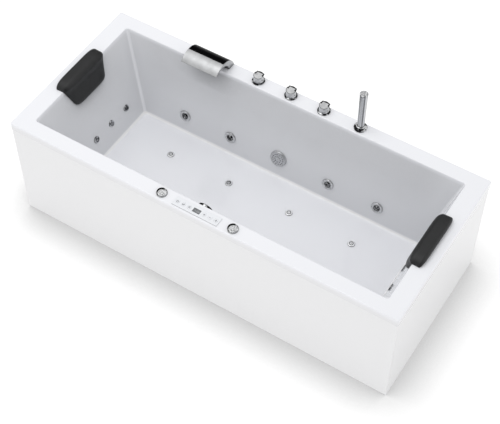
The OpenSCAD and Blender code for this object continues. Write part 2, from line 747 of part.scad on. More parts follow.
module waste_plug() color(chrome) 
    translate([overflow_x, -waste_y, floor_z + gap + waste_flange_h + gap]) {
    soft_disc(waste_r - plug_inset, plug_h, plug_h * 0.6);
    translate([0, 0, -plug_stem_l]) cylinder(r = plug_stem_r, h = plug_stem_l + lap);
}

trap_z = 14;
overflow_run_z = 42;
outlet_z = 58;
outlet_run = 190;
outlet_x = overflow_x + outlet_run;
outlet_end_z = 3;
outlet_socket_z = 28;
outlet_socket_wall = 4;
module waste_run(grow, over) {
    bar_z(overflow_x, -overflow_pipe_y, overflow_run_z, overflow_stub_z - gap + over, overflow_pipe_r + grow);
    knee(overflow_x, -overflow_pipe_y, overflow_run_z, overflow_pipe_r + grow);
    bar_y(overflow_x, -overflow_pipe_y, -waste_y, overflow_run_z, overflow_pipe_r + grow);
    bar_z(overflow_x, -waste_y, trap_z - grow, waste_body_end_z - gap - (grow < 0 ? pipe_wall : 0),
          trap_r + grow);
    bar_x(overflow_x, outlet_x, -waste_y, outlet_z, outlet_r + grow);
    knee(outlet_x, -waste_y, outlet_z, outlet_r + grow);
    bar_z(outlet_x, -waste_y, outlet_end_z - over, outlet_z, outlet_r + grow);
}
module waste_pipes() color(pipe_white) difference() {
    union() {
        waste_run(0, 0);
        bar_z(outlet_x, -waste_y, outlet_socket_z, outlet_z, outlet_r + outlet_socket_wall);
    }
    waste_run(-pipe_wall, cut);
    bar_z(overflow_x, -waste_y, waste_body_end_z - 2 * cut, waste_body_end_z + cut, waste_bore_r);
}

// Waterfall spout: a crescent between two circles, cut flat where it stands on the rim

spout_in = 14.5;
spout_down = 15;
spout_cy = inner_w / 2 - spout_in;
spout_cz = bath_h - spout_down;
spout_inner_r = 55.6;
spout_inner_in = 30;
spout_inner_down = 4.1;
// Height of the lip's edge above the rim
spout_lip_h = 38;
spout_inner_cy = inner_w / 2 - spout_inner_in;
spout_inner_cz = bath_h - spout_inner_down;
spout_cover_t = 2.5;
spout_tail_in = 21;
spout_tail_sink = 8;
spout_tail_y = spout_cy + spout_r - spout_tail_in;
strip_inset = 2;
// The strip's span on the outer curve, in degrees from straight up, towards the back
strip_from = 0;
strip_to = 58;
strip_slack = 0.2;
module crescent() difference() {
    translate([spout_cy, spout_cz]) circle(r = spout_r, $fn = 96);
    translate([spout_inner_cy, spout_inner_cz]) circle(r = spout_inner_r, $fn = 96);
    translate([spout_cy - 2 * spout_r, bath_h - 2 * spout_r]) square([4 * spout_r, 2 * spout_r]);
    translate([spout_cy - 2 * spout_r, bath_h - cut]) square([2 * spout_r, spout_lip_h + cut]);
}
// Extrudes a profile drawn with Y across and Z up along the length of the tub
module along_x(x, w) translate([x + w / 2, 0, 0]) rotate([90, 0, -90]) mirror([1, 0, 0])
    linear_extrude(height = w) children();
// The band under the curve that the black strip fills, thickness t
module strip_profile(t, grow) intersection() {
    difference() {
        translate([spout_cy, spout_cz]) circle(r = spout_r, $fn = 96);
        translate([spout_cy, spout_cz]) circle(r = spout_r - t, $fn = 96);
    }
    translate([spout_cy, spout_cz]) polygon([[0, 0],
        [-2 * spout_r * sin(strip_from + grow), 2 * spout_r * cos(strip_from + grow)],
        [2 * spout_r * sin(strip_to + grow), 2 * spout_r * cos(strip_to + grow)]]);
}
spout_slot_inset = 12;
spout_slot_w = spout_w - 2 * spout_slot_inset;
spout_slot_y = 60;
spout_slot_z = 39.5;
spout_slot_t = 9;
module spout_body() color(chrome) {
    difference() {
        along_x(spout_x, spout_w) crescent();
        along_x(spout_x, spout_w - 2 * strip_inset) strip_profile(spout_cover_t, strip_slack);
        // The water's slot in the underside, near the lip
        translate([spout_x - spout_slot_w / 2, inner_w / 2 - spout_slot_y, bath_h + spout_slot_z])
            cube([spout_slot_w, spout_slot_t, spout_slot_t]);
    }
    translate([spout_x, spout_tail_y, bath_h - tail_l + spout_tail_sink])
        cylinder(r = tail_r, h = tail_l - spout_tail_sink);
}
module spout_cover() color(black)
    along_x(spout_x, spout_w - 2 * (strip_inset + gap)) strip_profile(spout_cover_t - gap, 0);

// Valves

valve_base_h = 14;
valve_neck_r = 22;
neck_flare = 3;
flange_h = 7;
flange_edge = 2.5;
spindle_floor = 4;
tail_cap = 10;
lever_t = 8;
lever_tilt = 9;
// A deck tail with a male thread at its lower end
module deck_tail(l) translate([0, 0, -l]) {
    cylinder(r = thread_r, h = l);
    translate([0, 0, thread_l]) cylinder(r = tail_r, h = l - thread_l);
}
module valve_bases() color(chrome) for (x = valve_xs) translate([x, deck_y, bath_h]) difference() {
    union() {
        soft_disc(flange_r, flange_h, flange_edge);
        cylinder(r1 = valve_neck_r + neck_flare, r2 = valve_neck_r, h = valve_base_h);
        deck_tail(tail_l);
    }
    translate([0, 0, spindle_floor]) cylinder(r = spindle_r + run_gap, h = valve_base_h);
    translate([0, 0, -tail_l - cut]) cylinder(r = thread_r - tail_wall, h = tail_l - tail_cap);
}
// A lever handle: a neck, a spindle and a square slab that rises to the back
module valve_handle(i) color(chrome) translate([valve_xs[i], deck_y, bath_h]) {
    translate([0, 0, spindle_floor + margin]) cylinder(r = spindle_r, h = valve_base_h);
    difference() {
        intersection() {
            union() {
                translate([0, 0, valve_base_h + gap]) cylinder(r = valve_neck_r, h = lever_top_h);
                translate([-lever_w / 2, 0, valve_base_h + gap]) cube([lever_w, lever_w / 2, lever_top_h]);
            }
            translate([0, -lever_w, 0]) cube([2 * lever_w, 4 * lever_w, 2 * lever_top_h], center = true);
            lever_wedge();
        }
    }
    translate([0, 0, valve_base_h + gap])
        cylinder(r = valve_neck_r * 0.65, h = lever_top_h - valve_base_h - lever_t);
}
// The lever's slab with its front part thick and its back part free of the base
module lever_wedge() translate([-lever_w, 0, lever_top_h]) rotate([lever_tilt, 0, 0])
    translate([0, -2 * lever_w, -lever_t]) {
        cube([2 * lever_w, 4 * lever_w, lever_t]);
        translate([0, 0, -lever_top_h])
            cube([2 * lever_w, 2 * lever_w - valve_neck_r / 2, lever_top_h + lap]);
    }

// Hand shower and its holder

holder_h = 16;
handset_sink = 12;
holder_wall = 4;
spray_h = 9;
spray_over = 0.5;
spray_edge = 3;
module handset_holder() color(chrome) translate([handset_x, deck_y, bath_h]) difference() {
    union() {
        soft_disc(flange_r, flange_h, flange_edge);
        soft_disc(handset_r + holder_wall, holder_h, holder_wall);
        deck_tail(tail_l);
    }
    translate([0, 0, holder_h - handset_sink]) cylinder(r = handset_r + 2 * gap, h = handset_sink + cut);
    translate([0, 0, -tail_l - cut]) cylinder(r = thread_r - tail_wall, h = tail_l + holder_h);
}
module handset() color(chrome)
    translate([handset_x, deck_y, bath_h + holder_h - handset_sink + gap]) {
        cylinder(r1 = handset_r, r2 = handset_top_r, h = handset_h - holder_h + handset_sink - spray_h);
        translate([0, 0, handset_h - holder_h + handset_sink - spray_h - gap])
            soft_disc(handset_top_r + spray_over, spray_h, spray_edge);
    }

// Air controls

air_socket_r = 15;
air_socket_l = 40;
air_ring_h = 3;
air_ring_over = 2.5;
air_ring_edge = 1.5;
air_floor_t = 12;
air_bore_wall = 6;
knob_rim_w = 3;
knob_dish_h = 4;
knob_edge = 2;
notch_l = 8;
module air_control_rings() color(chrome) left_and_right()
    translate([air_control_x, front_deck_y, bath_h]) difference() {
        union() {
            soft_disc(air_knob_r + air_ring_over, air_ring_h, air_ring_edge);
            translate([0, 0, -air_socket_l]) cylinder(r = air_socket_r, h = air_socket_l);
        }
        translate([0, 0, -air_socket_l + air_floor_t]) cylinder(r = spindle_r + run_gap, h = air_socket_l);
        translate([0, 0, -air_socket_l - cut])
            cylinder(r = air_socket_r - air_bore_wall, h = air_floor_t + cut - lap);
    }
// A knob with a dished top, a raised grip and a notch that shows its setting
module air_knob() {
    difference() {
        translate([0, 0, air_ring_h + gap]) soft_disc(air_knob_r, air_knob_h, knob_edge);
        translate([0, 0, air_ring_h + air_knob_h - knob_dish_h])
            cylinder(r = air_knob_r - knob_rim_w, h = air_knob_h);
        rotate([0, 0, 45])
            translate([air_knob_r - notch_l, -notch_l / 2, air_ring_h + air_knob_h - knob_dish_h])
            cube([2 * air_knob_r, notch_l, air_knob_h]);
    }
    translate([0, 0, air_ring_h + air_knob_h - knob_dish_h - lap])
        soft_disc(air_knob_r * 0.55, knob_dish_h / 2 + lap, air_ring_edge);
    translate([0, 0, air_floor_t + 2 * margin - air_socket_l])
        cylinder(r = spindle_r, h = air_socket_l - air_floor_t - 2 * margin + air_ring_h + lap);
}
module air_knob_left() color(chrome) translate([-air_control_x, front_deck_y, bath_h]) air_knob();
module air_knob_right() color(chrome) translate([air_control_x, front_deck_y, bath_h]) air_knob();

// Control plate with its display and six keys

plate_end_lap = 6;
plate_side_lap = 7;
plate_box_l = plate_l - 2 * plate_end_lap;
plate_box_w = plate_w - 2 * plate_side_lap;
plate_box_h = shell_t;
electronics_clear = 18;
electronics_l = 2 * (cross_rail_inner_x - head_l / 2 - electronics_clear);
electronics_h = 18;
display_l = 33;
display_w = 20;
display_t = 1.2;
key_pitch = 27;
key_first_x = 35;
key_t = 2.4;
key_proud = 0.3;
key_edge = 0.5;
key_xs = [for (k = [0:5]) k < 3 ? -key_first_x - (2 - k) * key_pitch : key_first_x + (k - 3) * key_pitch];
module control_plate() color(acrylic) translate([0, plate_y, bath_h]) difference() {
    union() {
        translate([-plate_l / 2, -plate_w / 2, 0]) cube([plate_l, plate_w, plate_t]);
        translate([-plate_box_l / 2, -plate_box_w / 2, -plate_box_h])
            cube([plate_box_l, plate_box_w, plate_box_h + plate_t / 2]);
        translate([-electronics_l / 2, -plate_box_w / 2, -electronics_h])
            cube([electronics_l, plate_box_w, electronics_h]);
    }
    translate([-display_l / 2 - gap, -display_w / 2 - gap, plate_t - display_t])
        cube([display_l + 2 * gap, display_w + 2 * gap, display_t + cut]);
    for (x = key_xs) translate([x, 0, plate_t + key_proud - key_t - key_travel - gap])
        cylinder(r = key_r + gap / 2, h = key_t + key_travel + cut);
}
module display_window() color(black)
    translate([-display_l / 2, plate_y - display_w / 2, bath_h + plate_t - display_t])
        cube([display_l, display_w, display_t]);
module key(i) color(acrylic) translate([key_xs[i], plate_y, bath_h + plate_t + key_proud - key_t])
    soft_disc(key_r, key_t, key_edge);

// Pump at the right end, its shaft along Y

pump_y0 = 60;
pump_l = 52;
pump_wall = 8;
motor_l = 170;
base_lift = 2;
machine_z = equipment_top_z + pump_r + base_lift;
inlet_l = 20;
inlet_wall = 5;
motor_end_t = 12;
motor_base_in = 30;
shaft_end_t = 4;
wheel_t = 4;
wheel_clear = 4;
blade_l = 16;
blade_t = 3;
module pump_housing() color(black) difference() {
    union() {
        bar_y(equipment_x, pump_y0, pump_y0 + pump_l, machine_z, pump_r);
        bar_y(equipment_x, pump_y0 + pump_l - lap, pump_y0 + pump_l + inlet_l, machine_z,
              water_pipe_r + inlet_wall);
        bar_x(water_header_x + water_pipe_r + gap, equipment_x, pump_y0 + pump_l / 2, water_pipe_z,
              water_pipe_r);
    }
    bar_y(equipment_x, pump_y0 + pump_wall, pump_y0 + pump_l - pump_wall, machine_z, pump_r - pump_wall);
    bar_y(equipment_x, pump_y0 + pump_l - pump_wall - lap, pump_y0 + pump_l + inlet_l + cut, machine_z,
          water_pipe_r - pipe_wall);
    bar_x(water_header_x, equipment_x - pump_r + 2 * pump_wall, pump_y0 + pump_l / 2, water_pipe_z,
          water_pipe_r - pipe_wall);
    bar_y(equipment_x, pump_y0 - cut, pump_y0 + pump_wall + lap, machine_z, spindle_r + run_gap);
}
module pump_motor() color(steel) difference() {
    union() {
        bar_y(equipment_x, pump_y0 - gap - motor_l, pump_y0 - gap, machine_z, motor_r);
        translate([equipment_x - motor_r * 0.7, pump_y0 - motor_l + motor_base_in, equipment_top_z])
            cube([motor_r * 1.4, motor_l - 2 * motor_base_in, machine_z - equipment_top_z - motor_r * 0.6]);
    }
    bar_y(equipment_x, pump_y0 - motor_l + motor_end_t, pump_y0 - motor_end_t, machine_z, motor_r * 0.64);
    bar_y(equipment_x, pump_y0 - motor_l + shaft_end_t, pump_y0 + cut, machine_z, spindle_r + run_gap);
}
module pump_rotor() color(steel) {
    wheel_y = pump_y0 + pump_wall + wheel_clear;
    bar_y(equipment_x, pump_y0 - motor_l + shaft_end_t + lap, wheel_y + wheel_t + blade_l, machine_z,
          spindle_r);
    bar_y(equipment_x, pump_y0 - motor_l + motor_base_in, pump_y0 - motor_base_in, machine_z, motor_r * 0.6);
    bar_y(equipment_x, wheel_y, wheel_y + wheel_t, machine_z, pump_r - pump_wall - wheel_clear);
    for (k = [0:5]) translate([equipment_x, wheel_y + wheel_t - lap, machine_z]) rotate([0, k * 60, 0])
        translate([spindle_r - lap, 0, -blade_t / 2])
            cube([pump_r - pump_wall - wheel_clear - spindle_r, blade_l, blade_t]);
}

// Blower at the left end, its shaft along Y

blower_y0 = 20;
blower_l = 140;
blower_wall = 5;
blower_x = -equipment_x;
blower_z = equipment_top_z + blower_r + base_lift;
blower_side_in = 20;
blower_side_y = blower_y0 + blower_side_in;
blower_outlet_y = blower_y0 + blower_l - blower_side_in;
fan_blade_l = 30;
fan_blade_t = 2;
fan_motor_y = blower_y0 + blower_l / 2;
air_hole_r = 5;
module blower_housing() color(black) difference() {
    union() {
        bar_y(blower_x, blower_y0, blower_y0 + blower_l, blower_z, blower_r);
        translate([blower_x - blower_r * 0.7, blower_side_y, equipment_top_z])
            cube([blower_r * 1.4, blower_l - 2 * blower_side_in, blower_r * 0.6]);
        bar_x(blower_x, -floor_air_riser_x - 2 * air_pipe_r - gap, blower_side_y, blower_z, air_branch_r);
        bar_z(blower_x, blower_outlet_y, blower_z, air_main_z - 2 * air_pipe_r - gap, air_branch_r);
    }
    bar_y(blower_x, blower_y0 + blower_wall, blower_y0 + blower_l - blower_wall, blower_z,
          blower_r - blower_wall);
    bar_y(blower_x, blower_y0 - cut, blower_y0 + blower_l - lap, blower_z, spindle_r + run_gap);
    for (k = [0:7]) translate([blower_x, 0, blower_z]) rotate([0, k * 45, 0])
        bar_y(blower_r * 0.5, blower_y0 - cut, blower_y0 + blower_wall + cut, 0, air_hole_r);
}
module blower_rotor() color(steel) {
    fan_y = blower_y0 + 3 * blower_wall;
    bar_y(blower_x, blower_y0 + lap, blower_y0 + blower_l - 2 * lap, blower_z, spindle_r);
    bar_y(blower_x, fan_y, fan_y + wheel_t, blower_z, blower_r - blower_wall - wheel_clear);
    for (k = [0:7]) translate([blower_x, fan_y + wheel_t - lap, blower_z]) rotate([0, k * 45, 0])
        translate([blower_r * 0.45, 0, -fan_blade_t / 2])
            cube([blower_r * 0.55 - 2 * blower_wall, fan_blade_l, fan_blade_t]);
    bar_y(blower_x, fan_motor_y, blower_outlet_y, blower_z, blower_r * 0.6);
}

// Pipes: straight runs with elbows, parted by the width of a gap where they meet at a coupling

// The couplings' gaps on a bar along Y, at each of ys, and on one along X
module part_y(x, ys, z, r) for (y = ys)
    translate([x - 2 * r, y - gap / 2, z - 2 * r]) cube([4 * r, gap, 4 * r]);
module part_x(x, y, z, r) translate([x - gap / 2, y - 2 * r, z - 2 * r]) cube([gap, 4 * r, 4 * r]);

// The pressure pipes: a main along each side, joined at the right end, with a branch to each jet
module pressure_run(r, over) {
    front_and_back() {
        bar_x(side_jet_xs[0] - 2 * water_pipe_r, water_header_x, water_main_y, water_pipe_z, r);
        knee(water_header_x, water_main_y, water_pipe_z, r);
        for (x = side_jet_xs)
            bar_z(x, water_main_y, water_pipe_z, water_stub_z - gap + over, r - water_branch_step);
    }
    bar_y(water_header_x, -water_main_y, water_main_y, water_pipe_z, r);
    bar_x(water_header_x, water_header_x + water_pipe_r + over, pump_y0 + pump_l / 2, water_pipe_z, r);
}
// The suction pipe: from the cover down, along the back and across to the pump's inlet
module suction_run(r, over) {
    bar_z(0, suction_main_y, water_pipe_z, suction_stub_z - gap + over, r);
    knee(0, suction_main_y, water_pipe_z, r);
    bar_x(0, equipment_x, suction_main_y, water_pipe_z, r);
    knee(equipment_x, suction_main_y, water_pipe_z, r);
    bar_y(equipment_x, pump_y0 + pump_l + inlet_l + gap - over, suction_main_y, water_pipe_z, r);
}
module water_pipes() color(pipe_white) {
    elbow = 2 * water_pipe_r;
    difference() {
        pressure_run(water_pipe_r, 0);
        pressure_run(water_pipe_r - pipe_wall, cut);
        part_y(water_header_x, [elbow - water_main_y, water_main_y - elbow], water_pipe_z, water_pipe_r);
    }
    difference() {
        suction_run(water_pipe_r, 0);
        suction_run(water_pipe_r - pipe_wall, cut);
        part_y(equipment_x, [suction_main_y - elbow], water_pipe_z, water_pipe_r);
    }
}
// The side and end jets' air: a ring main round the basin, fed over the blower's outlet
module upper_air_run(r, over) {
    front_and_back() {
        bar_x(-air_header_x, air_header_x, air_main_y, air_main_z, r);
        for (x = [-1, 1]) knee(x * air_header_x, air_main_y, air_main_z, r);
        for (x = side_jet_xs)
            bar_z(x, air_main_y, air_stub_z + gap - over, air_main_z, r * branch_share);
    }
    for (x = [-1, 1]) {
        bar_y(x * air_header_x, -air_main_y, air_main_y, air_main_z, r);
        for (y = end_jet_ys)
            bar_z(x * air_header_x, y, end_stub_top_z + gap - over, air_main_z, r * branch_share);
    }
    bar_x(-equipment_x, -air_header_x, blower_outlet_y, air_main_z, r * branch_share);
    knee(-equipment_x, blower_outlet_y, air_main_z, r);
    bar_z(-equipment_x, blower_outlet_y, air_main_z - 2 * air_pipe_r - over, air_main_z,
          r * branch_share);
}
// The floor jets' air: a pipe under each row, joined at the left end
module lower_air_run(r, over) {
    front_and_back() {
        bar_x(-floor_air_riser_x, floor_jet_xs[3] + 2 * air_pipe_r, floor_jet_y, floor_air_z, r);
        knee(-floor_air_riser_x, floor_jet_y, floor_air_z, r);
    }
    bar_y(-floor_air_riser_x, -floor_jet_y, floor_jet_y, floor_air_z, r);
    bar_z(-floor_air_riser_x, blower_side_y, floor_air_z, blower_z, r * branch_share);
    knee(-floor_air_riser_x, blower_side_y, blower_z, r);
    bar_x(-floor_air_riser_x - 2 * air_pipe_r - over, -floor_air_riser_x, blower_side_y, blower_z,
          r * branch_share);
}
module air_pipes() color(pipe_white) {
    elbow = 2 * air_pipe_r;
    difference() {
        upper_air_run(air_pipe_r, 0);
        upper_air_run(air_pipe_r - pipe_wall, cut);
        for (x = [-1, 1])
            part_y(x * air_header_x, [elbow - air_main_y, air_main_y - elbow], air_main_z, air_pipe_r);
        part_x(-air_header_x - elbow, blower_outlet_y, air_main_z, air_pipe_r);
    }
    difference() {
        lower_air_run(air_pipe_r, 0);
        lower_air_run(air_pipe_r - pipe_wall, cut);
        part_y(-floor_air_riser_x, [elbow - floor_jet_y, floor_jet_y - elbow], floor_air_z, air_pipe_r);
    }
}

// Control box on the left board, with a gland for the mains lead under its overhanging front end
box_l = 100;
box_w = 150;
box_h = 85;
gland_r = 10;
gland_bore_r = 5;
gland_l = 14;
gland_depth = 8;
box_overhang = 50;
box_y0 = -long_rail_y - rail_s / 2 - box_overhang;
gland_y = box_y0 + box_overhang / 2;
module control_box() color(grey_plastic) difference() {
    union() {
        translate([-equipment_x - box_l / 2, box_y0, equipment_top_z]) cube([box_l, box_w, box_h]);
        bar_z(-equipment_x, gland_y, equipment_top_z - gland_l, equipment_top_z + lap, gland_r);
    }
    bar_z(-equipment_x, gland_y, equipment_top_z - gland_l - cut, equipment_top_z + gland_depth,
          gland_bore_r);
}

// Pillows: a cushion that lies on the rim, folds over its edge and hangs down the end wall

pillow_pin_r = 4;
pillow_pin_l = 18;
pillow_pin_x = inner_l / 2 + pillow_on_rim / 2;
pillow_pin_y = 80;
pillow_seat = gap;
pillow_channel = 2;
pillow_corner = 24;
pillow_back_l = 24;
pillow_end_l = 40;
pillow_thin_l = 30;
cols = 20;
back_rows = 4;
rim_rows = 3;
fold_rows = 4;
wall_rows = 8;
rows = back_rows + rim_rows + fold_rows + wall_rows;
// The roll's back turns from nearly flat to upright, and the fold from upright to square off the wall
back_turn = 88;
fold = 90 - end_lean;
pillow_fold_s = pillow_back_l + pillow_on_rim;
pillow_wall_s = pillow_fold_s + pillow_t * 0.6;
pillow_len = pillow_wall_s + pillow_on_wall;
// The pillow's inner face in the XZ plane, by row: behind the roll, on the rim, round its edge and
// down the wall. Each entry is [x, z, normal angle from upright, distance along the pillow]
function seat(j) =
    j < back_rows ? let (p = j / back_rows)
        [-inner_l / 2 - pillow_on_rim - lap * (1 - p), bath_h + pillow_seat, -back_turn * (1 - p),
         pillow_back_l * p] :
    j <= back_rows + rim_rows ? let (s = pillow_on_rim * (j - back_rows) / rim_rows)
        [-inner_l / 2 - pillow_on_rim + s, bath_h + pillow_seat, 0, pillow_back_l + s] :
    j <= rows - wall_rows ? let (p = (j - back_rows - rim_rows) / fold_rows, a = fold * p)
        [-inner_l / 2 + pillow_seat * sin(a), bath_h + pillow_seat * cos(a), a,
         pillow_fold_s + (pillow_wall_s - pillow_fold_s) * p] :
    let (s = pillow_on_wall * (j - rows + wall_rows) / wall_rows)
        [-inner_l / 2 + pillow_seat * sin(fold) + s * sin(end_lean),
         bath_h + pillow_seat * cos(fold) - s * cos(end_lean), fold, pillow_wall_s + s];
// Half the length of a row: wide at the rim, narrow below, with round corners and drawn-in sides
narrow_from_share = 0.39;
function row_half(s) = let (
    share = s / pillow_len,
    narrow = max(0, share - narrow_from_share) / (1 - narrow_from_share),
    low = max(0, pillow_corner - (pillow_len - s)),
    high = max(0, pillow_corner / 2 - s))
    pillow_half_l + (pillow_low_half_l - pillow_half_l) * narrow
    - (pillow_corner - sqrt(pillow_corner * pillow_corner - low * low))
    - (pillow_corner / 2 - sqrt(pillow_corner * pillow_corner / 4 - high * high))
    - pillow_half_l * 0.02 * sin(180 * share);
// Thickness at distance s along the pillow, normal angle a and share u across it, from -1 to 1:
// a roll that lies on the rim, thinner down the wall
roll_centre_share = 0.457;
wall_thin_share = 0.24;
function crown(s, a, u) = let (
    back = roll_centre_share * cos(min(a, 0)) + sqrt(0.25 - pow(roll_centre_share * sin(min(a, 0)), 2)),
    thin = 1 - wall_thin_share * min(1, max(0, s - pillow_fold_s) / pillow_thin_l),
    end = pow(1 - pow(max(0, 1 - (pillow_len - s) / pillow_end_l), 4), 0.5),
    side = pow(1 - pow(abs(u), 5), 0.5))
    pillow_t * max(0.12, back * thin * end * side)
    - pillow_channel * exp(-pow((s / pillow_len - 0.49) / 0.05, 2)) * (1 - pow(abs(u), 4));
function pillow_points() = [for (top = [0, 1], j = [0:rows], i = [0:cols]) let (
    p = seat(j), u = 2 * i / cols - 1, t = top * crown(p[3], p[2], u),
    bend = sign(u) * pow(abs(u), 0.8))
    [p[0] + t * sin(p[2]), row_half(p[3]) * bend, p[1] + t * cos(p[2])]];
function quad(a, b, c, d) = [[a, b, c], [a, c, d]];
function pillow_faces() = let (n = cols + 1, top = n * (rows + 1)) [
    for (j = [0:rows - 1], i = [0:cols - 1]) let (a = j * n + i)
        for (f = quad(a, a + 1, a + n + 1, a + n)) f,
    for (j = [0:rows - 1], i = [0:cols - 1]) let (a = top + j * n + i)
        for (f = quad(a, a + n, a + n + 1, a + 1)) f,
    for (i = [0:cols - 1]) for (f = quad(i, i + top, i + top + 1, i + 1)) f,
    for (i = [0:cols - 1]) let (a = rows * n + i)
        for (f = quad(a, a + 1, a + top + 1, a + top)) f,
    for (j = [0:rows - 1]) let (a = j * n) for (f = quad(a, a + n, a + top + n, a + top)) f,
    for (j = [0:rows - 1]) let (a = j * n + cols)
        for (f = quad(a, a + top, a + top + n, a + n)) f];
module pillow() {
    polyhedron(points = pillow_points(), faces = pillow_faces());
    for (y = [-1, 1]) translate([-pillow_pin_x, y * pillow_pin_y, bath_h - pillow_pin_l])
        cylinder(r = pillow_pin_r, h = pillow_pin_l + pillow_t / 2);
}
module pillow_left() color(charcoal) pillow();
module pillow_right() color(charcoal) mirror([1, 0, 0]) pillow();

bath_shell();
support_boards();
long_rails();
cross_rails();
uprights();
foot_stems();
foot_pads();
lock_nuts();
front_panel();
back_panel();
left_panel();
right_panel();
panel_brackets();
side_jet_bodies();
side_jet_rings();
side_jet_nozzle(0);  // side_jet_nozzle_1
side_jet_nozzle(1);  // side_jet_nozzle_2
side_jet_nozzle(2);  // side_jet_nozzle_3
side_jet_nozzle(3);  // side_jet_nozzle_4
side_jet_nozzle(4);  // side_jet_nozzle_5
side_jet_nozzle(5);  // side_jet_nozzle_6
side_jet_nozzle(6);  // side_jet_nozzle_7
side_jet_nozzle(7);  // side_jet_nozzle_8
air_jet_bodies();
air_jet_caps();
suction_cover();
overflow_body();
overflow_knob();
waste_body();
waste_plug();
waste_pipes();
spout_body();
spout_cover();
valve_bases();
valve_handle(0);  // valve_handle_1
valve_handle(1);  // valve_handle_2
valve_handle(2);  // valve_handle_3
handset_holder();
handset();
air_control_rings();
air_knob_left();
air_knob_right();
control_plate();
display_window();
key(0);  // key_1
key(1);  // key_2
key(2);  // key_3
key(3);  // key_4
key(4);  // key_5
key(5);  // key_6
pump_housing();
pump_motor();
pump_rotor();
blower_housing();
blower_rotor();
water_pipes();
air_pipes();
control_box();
pillow_left();
pillow_right();
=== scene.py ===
# %% [markdown]
# # A jetted bathtub
# The real object is an acrylic bath in a flat white apron. Chrome jets sit in its walls and floor,
# a black neck pillow hangs over each end, and a waterfall spout, three lever valves, a hand shower
# and a small control plate stand on its rim. The rigid pieces come from the CAD model. This script
# makes the soft and rounded skins that CAD can't give, and a finish for every piece.

# %% Load the model
import json
import math
import bpy
import bmesh
import numpy as np
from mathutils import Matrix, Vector


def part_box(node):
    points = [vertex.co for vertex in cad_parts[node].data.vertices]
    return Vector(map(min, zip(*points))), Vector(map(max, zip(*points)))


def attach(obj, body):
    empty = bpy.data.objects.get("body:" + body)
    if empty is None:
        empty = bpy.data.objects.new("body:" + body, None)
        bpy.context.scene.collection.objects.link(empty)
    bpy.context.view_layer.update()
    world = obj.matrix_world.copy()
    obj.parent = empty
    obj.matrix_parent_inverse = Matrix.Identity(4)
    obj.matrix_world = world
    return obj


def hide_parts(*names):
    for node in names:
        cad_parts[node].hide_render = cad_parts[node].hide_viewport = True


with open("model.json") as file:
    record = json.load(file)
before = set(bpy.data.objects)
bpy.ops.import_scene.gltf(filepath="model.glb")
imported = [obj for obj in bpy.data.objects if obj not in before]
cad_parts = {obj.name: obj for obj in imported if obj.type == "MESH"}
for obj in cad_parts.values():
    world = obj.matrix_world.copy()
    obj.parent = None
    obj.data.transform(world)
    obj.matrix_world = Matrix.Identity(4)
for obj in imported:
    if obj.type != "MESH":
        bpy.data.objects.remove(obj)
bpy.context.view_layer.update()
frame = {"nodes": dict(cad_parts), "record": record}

# %% [markdown]
# ## Camera
# The camera was worked out from the corners of the rim, the floor and the base in the photograph:
# a longish lens, well above the bath, with the horizon level.

# %% Camera
TURN = 0.5631         # radians round the bath, from straight in front
LIFT = 0.9156         # radians above the floor
DISTANCE = 5.1208     # metres from the aim
LENS, SENSOR, FAR = 89.49, 36, 60
AIM = Vector((0.0734, -0.0884, 0.2997))
back = Vector((math.sin(TURN) * math.cos(LIFT), -math.cos(TURN) * math.cos(LIFT), math.sin(LIFT)))
camera = bpy.data.objects.new("camera", bpy.data.cameras.new("camera"))
bpy.context.scene.collection.objects.link(camera)
camera.location = AIM + back * DISTANCE
camera.rotation_euler = (-back).to_track_quat("-Z", "Y").to_euler()
camera.data.lens = LENS
camera.data.sensor_width = SENSOR
camera.data.clip_end = FAR
bpy.context.scene.camera = camera
bpy.context.scene.view_settings.view_transform = "Standard"
print("camera at", [round(c, 3) for c in camera.location])

# %% [markdown]
# ## Sizes
# These repeat the part's own sizes in metres, so every skin lies where its solid is.

# %% Sizes
BATH = np.array([1.800, 0.775, 0.550])
RIM_END, RIM_SIDE, LIP = 0.079, 0.067, 0.038
FLOOR_Z, FLOOR_L, FLOOR_W = 0.144, 1.396, 0.481
SHELL = 0.006
BASIN_R = 0.012
DECK_INSET = 0.036    # from the basin's edge to the valves
INNER = np.array([BATH[0] - 2 * RIM_END, BATH[1] - 2 * RIM_SIDE])
DEPTH = BATH[2] - FLOOR_Z
LEAN = np.arctan([(INNER[0] - FLOOR_L) / 2 / DEPTH, (INNER[1] - FLOOR_W) / 2 / DEPTH])
DECK_Y = INNER[1] / 2 + DECK_INSET
print("walls lean", np.degrees(LEAN).round(1), "degrees")


def end_wall_x(z):
    """Half the basin's length at height z: half the floor's, plus the rise times the lean's tangent."""
    return FLOOR_L / 2 + (z - FLOOR_Z) * np.tan(LEAN[0])


def side_wall_y(z):
    """Half the basin's width at height z, by the same rule across the bath."""
    return FLOOR_W / 2 + (z - FLOOR_Z) * np.tan(LEAN[1])


def top_of(node):
    """The middle of a node's box in plan, and the height of its top."""
    low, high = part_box(node)
    return (float(low[0] + high[0]) / 2, float(low[1] + high[1]) / 2), float(high[2])


# %% [markdown]
# ## Light and floor
# The photograph is a studio picture on white: even light from all round with one large soft lamp
# overhead, hardly any shadow, and a white floor. The sky is nearly one brightness, so the aprons
# come out almost as light as the rim, and the basin's walls fall off to grey by themselves because
# they see less of it. Chrome shows only what is round it, so mirror rays see a white studio with a
# couple of dark cards in it, as a photographer stands round shiny fittings.

# %% Colour and node helpers
def colour(code):
    """An sRGB hex colour as linear red, green, blue and alpha."""
    parts = [int(code[i:i + 2], 16) / 255 for i in (1, 3, 5)]
    return [c / 12.92 if c <= 0.04045 else ((c + 0.055) / 1.055) ** 2.4 for c in parts] + [1.0]


